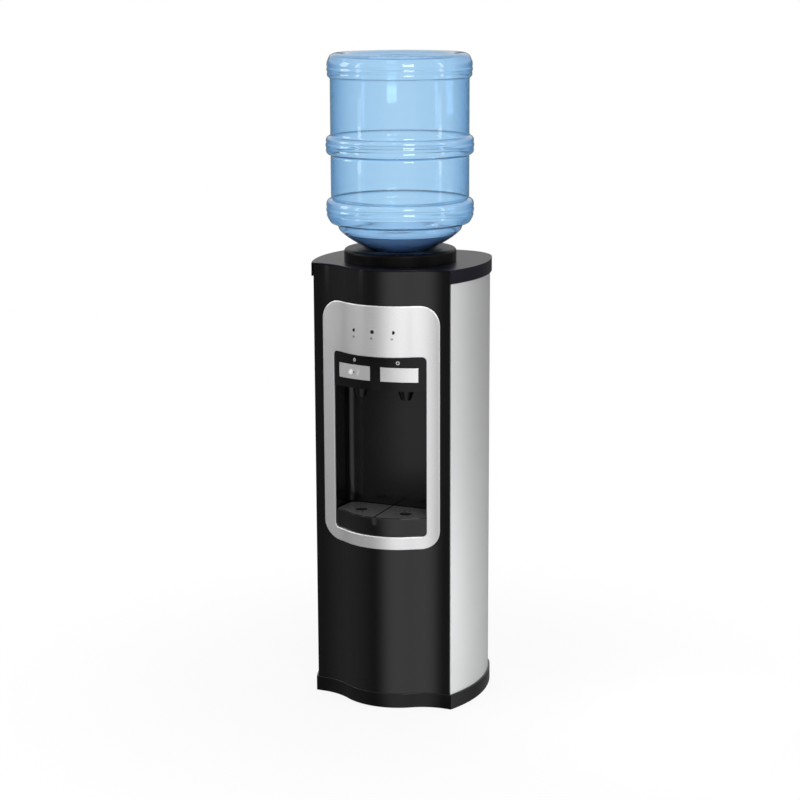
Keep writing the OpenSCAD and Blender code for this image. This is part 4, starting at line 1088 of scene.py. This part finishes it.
@dataclass
class ControlFront:
    """Silver bezel with its lamps, and the black fascia with its keys."""

    width: float = 233 * MM
    low: float = 309.3 * MM
    high: float = 763.9 * MM
    corner: float = 36 * MM
    proud: float = 1.5 * MM
    gap_width: float = 184 * MM
    gap_low: float = 333.4 * MM
    gap_high: float = 669.9 * MM
    gap_corner: float = 8 * MM
    lamp_pitch: float = 38 * MM
    lamp_z: float = 716 * MM
    lamp_r: float = 3.6 * MM
    lamp_high: float = 0.4 * MM
    face_radius: float = 195 * MM
    face_set: float = 11 * MM
    fascia_low: float = 606 * MM
    fascia_wall: float = 2.5 * MM
    key_inner: float = 10.2 * MM
    key_outer: float = 78.6 * MM
    key_low: float = 623 * MM
    key_high: float = 649.6 * MM
    key_proud: float = 1 * MM
    slot_x: tuple[float, float] = (-52.8 * MM, -42.8 * MM)
    slot_z: tuple[float, float] = (633.7 * MM, 637.3 * MM)
    mark_x: float = 43 * MM
    mark_z: float = 658.5 * MM
    mark_drop: float = 12 * MM
    stroke: tuple[float, float] = (-34.8 * MM, 635.5 * MM)

    def bezel(self) -> bpy.types.Object:
        """The bezel: rings on the bow from its outer edge over its face into the opening."""
        outer = pane(self.width, self.low, self.high, self.corner)
        inner = pane(self.gap_width, self.gap_low, self.gap_high, self.gap_corner)
        soft, face = 1.3 * MM, self.proud
        rings = [on_bow(outer, 0.15 * MM)]
        rings.append(on_bow(outer, face - soft))
        for a in np.radians(np.linspace(20, 90, 5)):
            ring = shifted(outer, soft * (1 - math.cos(a)))
            rings.append(on_bow(ring, face - soft + soft * math.sin(a)))
        start = shifted(outer, soft * 1.6)
        end = shifted(inner, -soft * 1.6)
        rings += [on_bow(start + (end - start) * t, face) for t in np.linspace(0, 1, 9)]
        for a in np.radians(np.linspace(90, 0, 6)):
            ring = shifted(inner, -soft * (1 - math.cos(a)))
            rings.append(on_bow(ring, face - soft + soft * math.sin(a)))
        lip = shifted(inner, -1.5 * MM)
        rings += [on_bow(inner, -2.4 * MM), on_bow(lip, -2.4 * MM), on_bow(lip, 0.15 * MM)]
        return lofted("bezel_frame", rings, closed=True, sharp=40)

    def face(self, x: Array, behind: float = 0.0) -> Array:
        """Y of the fascia's face at x, which is an arc about a line behind its middle.

        Args:
            x: places across the fascia.
            behind: distance behind the face.

        Returns:
            The Y of each place.
        """
        middle = PLAN.crown + self.face_set
        return middle + self.face_radius - np.sqrt(self.face_radius**2 - x**2) + behind

    def slab(self, x: Array, z: Array, front: float, back: float, keep: Array | None = None) -> Form:
        """A plate that follows the fascia's arc.

        Args:
            x: places of its columns.
            z: places of its rows.
            front: distance of its front behind the fascia's face.
            back: distance of its back behind the face.
            keep: which cells are there.

        Returns:
            The plate.
        """
        across, up = np.meshgrid(x, z)
        faces = [np.stack([across, self.face(across, depth), up], -1) for depth in (front, back)]
        form = Form()
        form.shell(faces[0], faces[1], keep)
        return form

    def fascia(self) -> bpy.types.Object:
        """The fascia: an arc with two windows, and a ledge forward to the bezel."""
        half, air = self.gap_width / 2 - 0.3 * MM, 0.5 * MM
        a, b = self.key_inner - air, self.key_outer + air
        low, high = self.key_low - air, self.key_high + air
        right = np.concatenate([np.linspace(a, b, 21), np.linspace(b, half, 6)[1:]])
        x = np.concatenate([-right[::-1], right])
        top = self.gap_high - 0.3 * MM
        z = np.array([self.fascia_low, low, high, top])
        middle = np.abs(x[1:] + x[:-1]) / 2
        window = (middle > a) & (middle < b)
        keep = np.array([np.ones(len(middle), bool), ~window, np.ones(len(middle), bool)])
        form = self.slab(x, z, 0, self.fascia_wall, keep)
        x = np.linspace(-half, half, 81)
        front, back = PLAN.bow(x, -0.5 * MM), self.face(x, 1 * MM)
        lines = [np.column_stack([x, y]) for y in (front, back)]
        ledge = [np.stack([at_height(line, top - drop) for line in lines]) for drop in (0, self.fascia_wall)]
        form.shell(ledge[0], ledge[1])
        return softened(form.mesh("fascia_skin"), 0.5 * MM)

    def key(self, side: int) -> bpy.types.Object:
        """A key: a plate on the fascia's arc, a little proud of it, with a soft edge.

        Args:
            side: 1 for the right key and -1 for the left one.

        Returns:
            The key.
        """
        x = np.linspace(self.key_inner, self.key_outer, 33) * side
        z = np.linspace(self.key_low, self.key_high, 9)
        keep = None
        if side < 0:
            x = np.unique(np.concatenate([x, self.slot_x]))
            z = np.unique(np.concatenate([z, self.slot_z]))
            across, up = (x[1:] + x[:-1]) / 2, (z[1:] + z[:-1]) / 2
            beside = (across > self.slot_x[0]) & (across < self.slot_x[1])
            level = (up > self.slot_z[0]) & (up < self.slot_z[1])
            keep = ~(beside[None, :] & level[:, None])
        form = self.slab(x, z, -self.key_proud, self.fascia_wall + 1.8 * MM, keep)
        name = "cold_key" if side > 0 else "hot_key"
        piece = softened(form.mesh(name), 0.8 * MM)
        piece.modifiers["edge"].segments = 3
        return piece

    def lenses(self) -> bpy.types.Object:
        """The lamps' lenses: low domes whose radius and height follow a quarter of a circle."""
        form = Form()
        for k in (-1, 0, 1):
            x = k * self.lamp_pitch
            face = float(PLAN.bow(np.array(x), self.proud))
            rings = [(self.lamp_r, face + 4 * MM)]
            for a in np.linspace(0, 1.4, 7):
                rings.append((self.lamp_r * math.cos(a), face - self.lamp_high * math.sin(a)))
            circles = [(CIRCLE * r + [x, self.lamp_z], np.full(len(CIRCLE), y)) for r, y in rings]
            form.loft([np.column_stack([line[:, 0], y, line[:, 1]]) for line, y in circles])
        return softened(form.mesh("lamp_lenses"), 0)

    def print_on(
        self,
        name: str,
        outline: Array,
        hole: Array,
        base: list[Array],
        body: str,
        slot: Slot,
    ) -> None:
        """A thin printed mark: a flat ring between two outlines, a hair thick, laid on a face.

        Args:
            name: name of the mark.
            outline: its outer points in X and Z.
            hole: its inner points in X and Z, as many.
            base: Y of the face at the outer points, and at the inner ones.
            body: the body that it rides on.
            slot: its slot.
        """
        thin = 0.12 * MM
        sides = ((outline, base[0], 0), (outline, base[0], thin), (hole, base[1], thin), (hole, base[1], 0))
        rings = [np.column_stack([line[:, 0], y - lift, line[:, 1]]) for line, y, lift in sides]
        fit(lofted(name, rings, closed=True), body, slot)

    def marks(self) -> None:
        """Printed marks: a ring under each lamp, a drop and a ring over the keys, a stroke by the knob."""
        for k, name in ((-1, "left"), (0, "middle"), (1, "right")):
            centre = np.array([k * self.lamp_pitch - 1.5 * MM, self.lamp_z - self.mark_drop])
            lines = [centre + CIRCLE * [r * 1.3, r] for r in (1.7 * MM, 0.9 * MM)]
            base = [PLAN.bow(line[:, 0], self.proud) for line in lines]
            self.print_on(f"lamp_mark_{name}", *lines, base, "cabinet", Slot.black_satin)
        upper = CIRCLE[:, 1] > 0
        drop = CIRCLE * np.column_stack([
            np.where(upper, 1 - 0.6 * CIRCLE[:, 1] ** 2, 1),
            np.where(upper, 1.6, 1),
        ])
        signs = (("hot_mark", -1, drop, (2.9, 1.1)), ("cold_mark", 1, CIRCLE, (3.4, 2.1)))
        for name, side, form, sizes in signs:
            centre = np.array([side * self.mark_x, self.mark_z])
            lines = [centre + form * r * MM for r in sizes]
            base = [self.face(line[:, 0]) for line in lines]
            self.print_on(name, *lines, base, "cabinet", Slot.button_silver)
        stroke = CIRCLE * [0.9 * MM, 4.6 * MM]
        stroke[:, 0] += stroke[:, 1] * 0.4
        lines = [np.array(self.stroke) + stroke * part for part in (1, 0.05)]
        base = [self.face(line[:, 0], -self.key_proud) for line in lines]
        self.print_on("lock_mark", *lines, base, "hot_button", Slot.white_plastic)

    def build(self) -> None:
        """Builds and fits the front's pieces."""
        fit(self.bezel(), "cabinet", Slot.brushed_silver, "front_bezel")
        fit(self.fascia(), "cabinet", Slot.black_satin, "button_fascia")
        fit(self.key(-1), "hot_button", Slot.button_silver, "hot_button")
        fit(self.key(1), "cold_button", Slot.button_silver, "cold_button")
        fit(refined("hot_lock", 0.4 * MM), "hot_lock", Slot.white_plastic, "hot_lock")
        fit(self.lenses(), "cabinet", Slot.smoked_lens, "indicator_lenses")
        self.marks()


@dataclass
class Niche:
    """Liner, taps, drip tray and grille."""

    half: float = 92 * MM
    back: float = -60 * MM
    back_half: float = 88 * MM
    corner: float = 20 * MM
    liner_corner: float = 12 * MM
    liner_half: float = 91.2 * MM
    floor: float = 333.2 * MM
    ceiling: float = 606 * MM
    wall: float = 2.5 * MM
    tray_low: float = 333.7 * MM
    tray_high: float = 368 * MM
    tray_wall: float = 2.2 * MM
    tap_x: float = 45 * MM
    tap_y: float = -104 * MM
    set_in: float = 2.8 * MM

    def line(self, out: float, start: float, corner: float, half: float) -> Array:
        """The niche's wall in plan, from its front right edge round the back to the left.

        Args:
            out: distance outside the wall's inner face.
            start: Y of the front edges.
            corner: radius of the rear corners.
            half: half width at the back.

        Returns:
            The points in X and Y.
        """
        bend = arc(half - corner, self.back - corner, corner + out, 0, 90, 12)
        first = np.array([[self.half + out, start]])
        right = np.vstack([np.linspace(first[0], bend[0], 9)[:-1], bend])
        left = right[::-1] * [-1, 1]
        return np.vstack([right, np.linspace(right[-1], left[0], 17)[1:-1], left])

    def liner(self) -> bpy.types.Object:
        """The liner: the wall's line swept up from the floor to the ceiling, and the floor."""
        start = float(PLAN.bow(np.array(self.half), -self.set_in))
        z = np.linspace(self.floor, self.ceiling, 9)
        corner, half = self.liner_corner, self.liner_half
        walls = [self.line(out, start, corner, half) for out in (0, self.wall)]
        faces = [np.stack([at_height(wall, height) for height in z]) for wall in walls]
        form = Form()
        form.shell(faces[0], faces[1])
        inner = self.line(0.5 * MM, start, corner, half)
        x = self.half * np.linspace(-1, 1, 33)
        front = np.column_stack([x, PLAN.bow(x, -self.set_in)])
        ring = np.vstack([front, inner[1:-1]])
        form.loft([at_height(ring, self.floor - self.wall), at_height(ring, self.floor)])
        return softened(form.mesh("niche_skin"), 0.4 * MM)

    def tray_ring(self, d: float) -> Array:
        """The tray's plan: the bow in front and the niche's wall behind, both drawn in by d."""
        start = float(PLAN.bow(np.array(self.half), -1 * MM))
        wall = self.line(-1 * MM - d, start, self.corner, self.back_half)
        x = (self.half - 1 * MM - d) * np.linspace(-1, 1, 65)
        front = np.column_stack([x, PLAN.bow(x, -1 * MM - d)])
        return np.vstack([front, wall[1:-1]])

    def tray(self) -> bpy.types.Object:
        """The drip tray: its plan carried up its outside, over the rim and down to its floor."""
        low, high, wall = self.tray_low, self.tray_high, self.tray_wall
        seat, rim, ledge = high - 1.6 * MM, wall - 0.1 * MM, wall + 1.6 * MM
        steps = [(1.2 * MM, low), (0.3 * MM, low + 0.4 * MM), (0, low + 1.2 * MM), (0, high - 0.7 * MM)]
        steps += [(0.2 * MM, high - 0.2 * MM), (0.7 * MM, high), (wall - 0.4 * MM, high)]
        steps += [(rim, high - 0.3 * MM), (rim, seat), (ledge, seat), (ledge, low + wall)]
        return lofted("tray_pan", [at_height(self.tray_ring(d), z) for d, z in steps])

    def build(self) -> None:
        """Builds and fits the niche's pieces."""
        fit(self.liner(), "cabinet", Slot.black_gloss, "niche_liner", look=Look.liner.material())
        fit(self.tray(), "drip_tray", Slot.black_gloss, "drip_tray")
        target = (self.tap_x, self.tap_y - 3 * MM)
        # the grille's finish paints shade, near black, into its two targets, its middle groove and its edge
        pale = ShadePaintedGrille((0.075, 0.075, 0.076), 0.42, target, 9.5 * MM, 1.6 * MM, self.tray_high + 0.5 * MM)
        grille, look = refined("drip_grille", 0.25 * MM), finished("grille", pale)
        fit(grille, "drip_grille", Slot.charcoal_plastic, "drip_grille", look=look)
        fit(refined("hot_faucet", 0.3 * MM), "cabinet", Slot.black_satin, "hot_faucet")
        fit(refined("cold_faucet", 0.3 * MM), "cabinet", Slot.black_satin, "cold_faucet")


@dataclass
class Rear:
    """Condenser and the fittings on the rear panel."""

    fittings: dict[str, tuple[str, float]] = field(default_factory=lambda: {
        "condenser_clips": ("cabinet", 0.15 * MM),
        "drain_outlet": ("cabinet", 0.3 * MM),
        "drain_cap": ("drain_cap", 0.3 * MM),
        "switch_plate": ("cabinet", 0.4 * MM),
        "hot_switch": ("hot_switch", 0.4 * MM),
        "cold_switch": ("cold_switch", 0.4 * MM),
        "power_inlet": ("cabinet", 0.4 * MM),
        "condenser": ("cabinet", 0.0),
    })

    def build(self, slots: dict[str, str]) -> None:
        """Builds and fits the rear pieces.

        Args:
            slots: the material slot of each node.
        """
        for node, (body, edge) in self.fittings.items():
            fit(refined(node, edge), body, Slot[slots[node]], node)


@dataclass
class Studio:
    """Camera, lights, world and floor."""

    eye: tuple[float, float, float] = (1.4499, -3.3966, 1.3628)
    turn: float = 23.284
    pitch: float = 12.270
    roll: float = -0.232
    lens: float = 90.043
    plain: float = 0.38
    upward: float = 1.0
    whitened: float = 0.88
    flags: tuple[tuple[float, float], ...] = (
        (-180, 0.15), (-150, 0.2), (-125, 0.15), (-90, 0.16), (-65, 0.22), (-50, 0.2), (-38, 0.16),
        (-28, 0.12), (-20, 0.14), (-12, 0.3), (-5, 0.54), (3, 0.8), (11, 0.95), (22, 1.0), (45, 0.95),
        (60, 0.4), (80, 0.5), (98, 0.9), (112, 1.0), (124, 0.6), (136, 0.34), (150, 0.2), (180, 0.15),
    )

    def camera(self) -> None:
        """The camera, turned left, tilted down and rolled as in the photograph."""
        a, t, r = (math.radians(v) for v in (self.turn, self.pitch, self.roll))
        ahead = Vector((-math.sin(a) * math.cos(t), math.cos(a) * math.cos(t), -math.sin(t)))
        right = Vector((math.cos(a), math.sin(a), 0))
        up = right.cross(ahead)
        x = right * math.cos(r) + up * math.sin(r)
        y = up * math.cos(r) - right * math.sin(r)
        data = bpy.data.cameras.new("camera")
        data.lens = self.lens
        data.sensor_width = 36
        eye = bpy.data.objects.new("camera", data)
        bpy.context.scene.collection.objects.link(eye)
        eye.matrix_world = Matrix.Translation(self.eye) @ Matrix((x, y, -ahead)).transposed().to_4x4()
        bpy.context.scene.camera = eye

    def lamp(
        self,
        name: str,
        place: tuple[float, float, float],
        aim: tuple[float, float, float],
        size: tuple[float, float],
        power: float,
        mirrored: bool = True,
    ) -> None:
        """A soft rectangular lamp.

        Args:
            name: its name.
            place: where it stands.
            aim: the point that it faces.
            size: its width and height.
            power: its power in watts.
            mirrored: whether it shows in gloss.
        """
        data = bpy.data.lights.new(name, "AREA")
        data.shape = "RECTANGLE"
        data.size, data.size_y = size
        data.energy = power
        made = bpy.data.objects.new(name, data)
        bpy.context.scene.collection.objects.link(made)
        made.location = place
        made.visible_camera = False
        made.visible_glossy = mirrored
        made.rotation_euler = (Vector(aim) - Vector(place)).to_track_quat("-Z", "Y").to_euler()

    def rays(self, graph: Graph, *names: str) -> Field:
        """1 for the named kinds of ray and 0 for the others.

        Args:
            graph: the graph that asks.
            names: the kinds, as the Light Path node calls them.

        Returns:
            The sum, kept between 0 and 1.
        """
        total = graph.node("ShaderNodeLightPath", {}, {}, names[0])
        for name in names[1:]:
            total = total + graph.node("ShaderNodeLightPath", {}, {}, name)
        return total.clipped()

    def world(self) -> None:
        """A white world behind the object, dark flags in it for mirrors, and plain light for the rest."""
        world = bpy.data.worlds.new("studio")
        bpy.context.scene.world = world
        world.use_nodes = True
        graph = Graph(world.node_tree)
        way = graph.node("ShaderNodeTexCoord", {}, {}, "Generated")
        x, y, z = (graph.node("ShaderNodeSeparateXYZ", {}, {0: way}, axis) for axis in "XYZ")
        angle = graph.node("ShaderNodeMath", {"operation": "ARCTAN2"}, {0: x, 1: 0.0 - y})
        stops = [(turn / 360 + 0.5, level) for turn, level in self.flags]
        shade = graph.node("ShaderNodeValToRGB", {"stops": stops}, {0: angle * (0.5 / math.pi) + 0.5})
        limits = {"Value": z, 1: 0.02, 2: 0.2}
        above = graph.node("ShaderNodeMapRange", {"interpolation_type": "SMOOTHSTEP"}, limits)
        mirror = graph.blend(above, shade, (self.upward,) * 3 + (1,))
        light = graph.blend(self.rays(graph, "Is Glossy Ray"), (self.plain,) * 3 + (1,), mirror)
        final = graph.blend(self.rays(graph, "Is Camera Ray", "Is Transmission Ray"), light, (1, 1, 1, 1))
        sky = graph.node("ShaderNodeBackground", {}, {"Color": final, "Strength": 1.0})
        graph.node("ShaderNodeOutputWorld", {}, {"Surface": sky})

    def floor(self) -> None:
        """A pale floor that keeps the object's shadow and goes over into the white world."""
        form = Form()
        x = np.linspace(-9, 9, 13)
        across, deep = np.meshgrid(x, x)
        form.grid(np.stack([across, deep, np.full_like(across, -0.0002)], -1))
        mesh = form.mesh("floor")
        if mesh.polygons[0].normal.z < 0:
            mesh.flip_normals()
        piece = softened(mesh, 0)
        material = bpy.data.materials.new("floor")
        material.use_nodes = True
        graph = Graph(material.node_tree)
        place = graph.place()
        far = graph.node("ShaderNodeVectorMath", {"operation": "LENGTH"}, {0: place}, "Value")
        limits = {"Value": far, 1: 0.25, 2: 0.9}
        fade = graph.node("ShaderNodeMapRange", {"interpolation_type": "SMOOTHSTEP"}, limits)
        grain = graph.noise(place, 3.0)
        tone = graph.blend(grain, (0.8, 0.8, 0.8, 1), (0.82, 0.82, 0.82, 1))
        ground = graph.node("ShaderNodeBsdfPrincipled", {}, {"Base Color": tone, "Roughness": 0.7})
        white = graph.node("ShaderNodeEmission", {}, {"Color": (1, 1, 1, 1), "Strength": 1.0})
        clear = graph.node("ShaderNodeBsdfTransparent", {}, {})
        seen = self.rays(graph, "Is Camera Ray", "Is Transmission Ray")
        part = seen * (self.whitened + fade * (1 - self.whitened))
        near = graph.node("ShaderNodeMixShader", {}, {0: part, 1: ground, 2: white})
        mirrored = self.rays(graph, "Is Glossy Ray")
        both = graph.node("ShaderNodeMixShader", {}, {0: mirrored, 1: near, 2: clear})
        graph.node("ShaderNodeOutputMaterial", {}, {"Surface": both})
        mesh.materials.append(material)

    def build(self) -> None:
        """Sets up the whole studio."""
        self.camera()
        self.world()
        self.floor()
        self.lamp("key", (2.4, -3.2, 2.4), (0, 0, 0.6), (1.2, 1.6), 58)
        self.lamp("fill", (-3.1, -0.9, 1.8), (0, 0, 0.6), (1.0, 1.6), 20)
        self.lamp("top", (0, -0.2, 3.2), (0, 0, 0.6), (2.0, 2.0), 22)
        self.lamp("low", (0.75, 0.0, 0.1), (0.15, 0, 0.1), (0.3, 0.2), 2.8, mirrored=False)
        self.lamp("left_band", (-1.41, -1.43, 1.5), (0, 0, 1.1), (0.25, 1.4), 3.8)
        self.lamp("right_band", (2.0, 0.03, 1.5), (0, 0, 1.1), (0.2, 1.4), 3.4)
        self.lamp("left_glow", (-1.41, -1.43, 0.69), (0, 0, 1.0), (0.25, 0.24), 0.22)
        self.lamp("right_glow", (2.0, 0.03, 0.69), (0, 0, 1.0), (0.2, 0.24), 0.22)
        self.lamp("niche_card", (-0.32, -0.92, 0.315), (0.05, -0.06, 0.5), (0.11, 0.25), 0.06)
        bpy.context.scene.view_settings.view_transform = "Standard"


def main() -> None:
    """Builds every sub-assembly, then gives the nodes that stay their finishes."""
    logging.basicConfig(level=logging.INFO, format="%(name)s: %(message)s")
    slots = {part["node"]: part["material_slot"] for part in frame["record"]["subparts"]}
    Cabinet().build()
    BottleStand().build()
    ControlFront().build()
    Niche().build()
    Rear().build(slots)
    for name, node in frame["nodes"].items():
        node.data.materials.clear()
        node.data.materials.append(Slot[slots[name]].material())
    Studio().build()


if __name__ == "__main__":
    main()
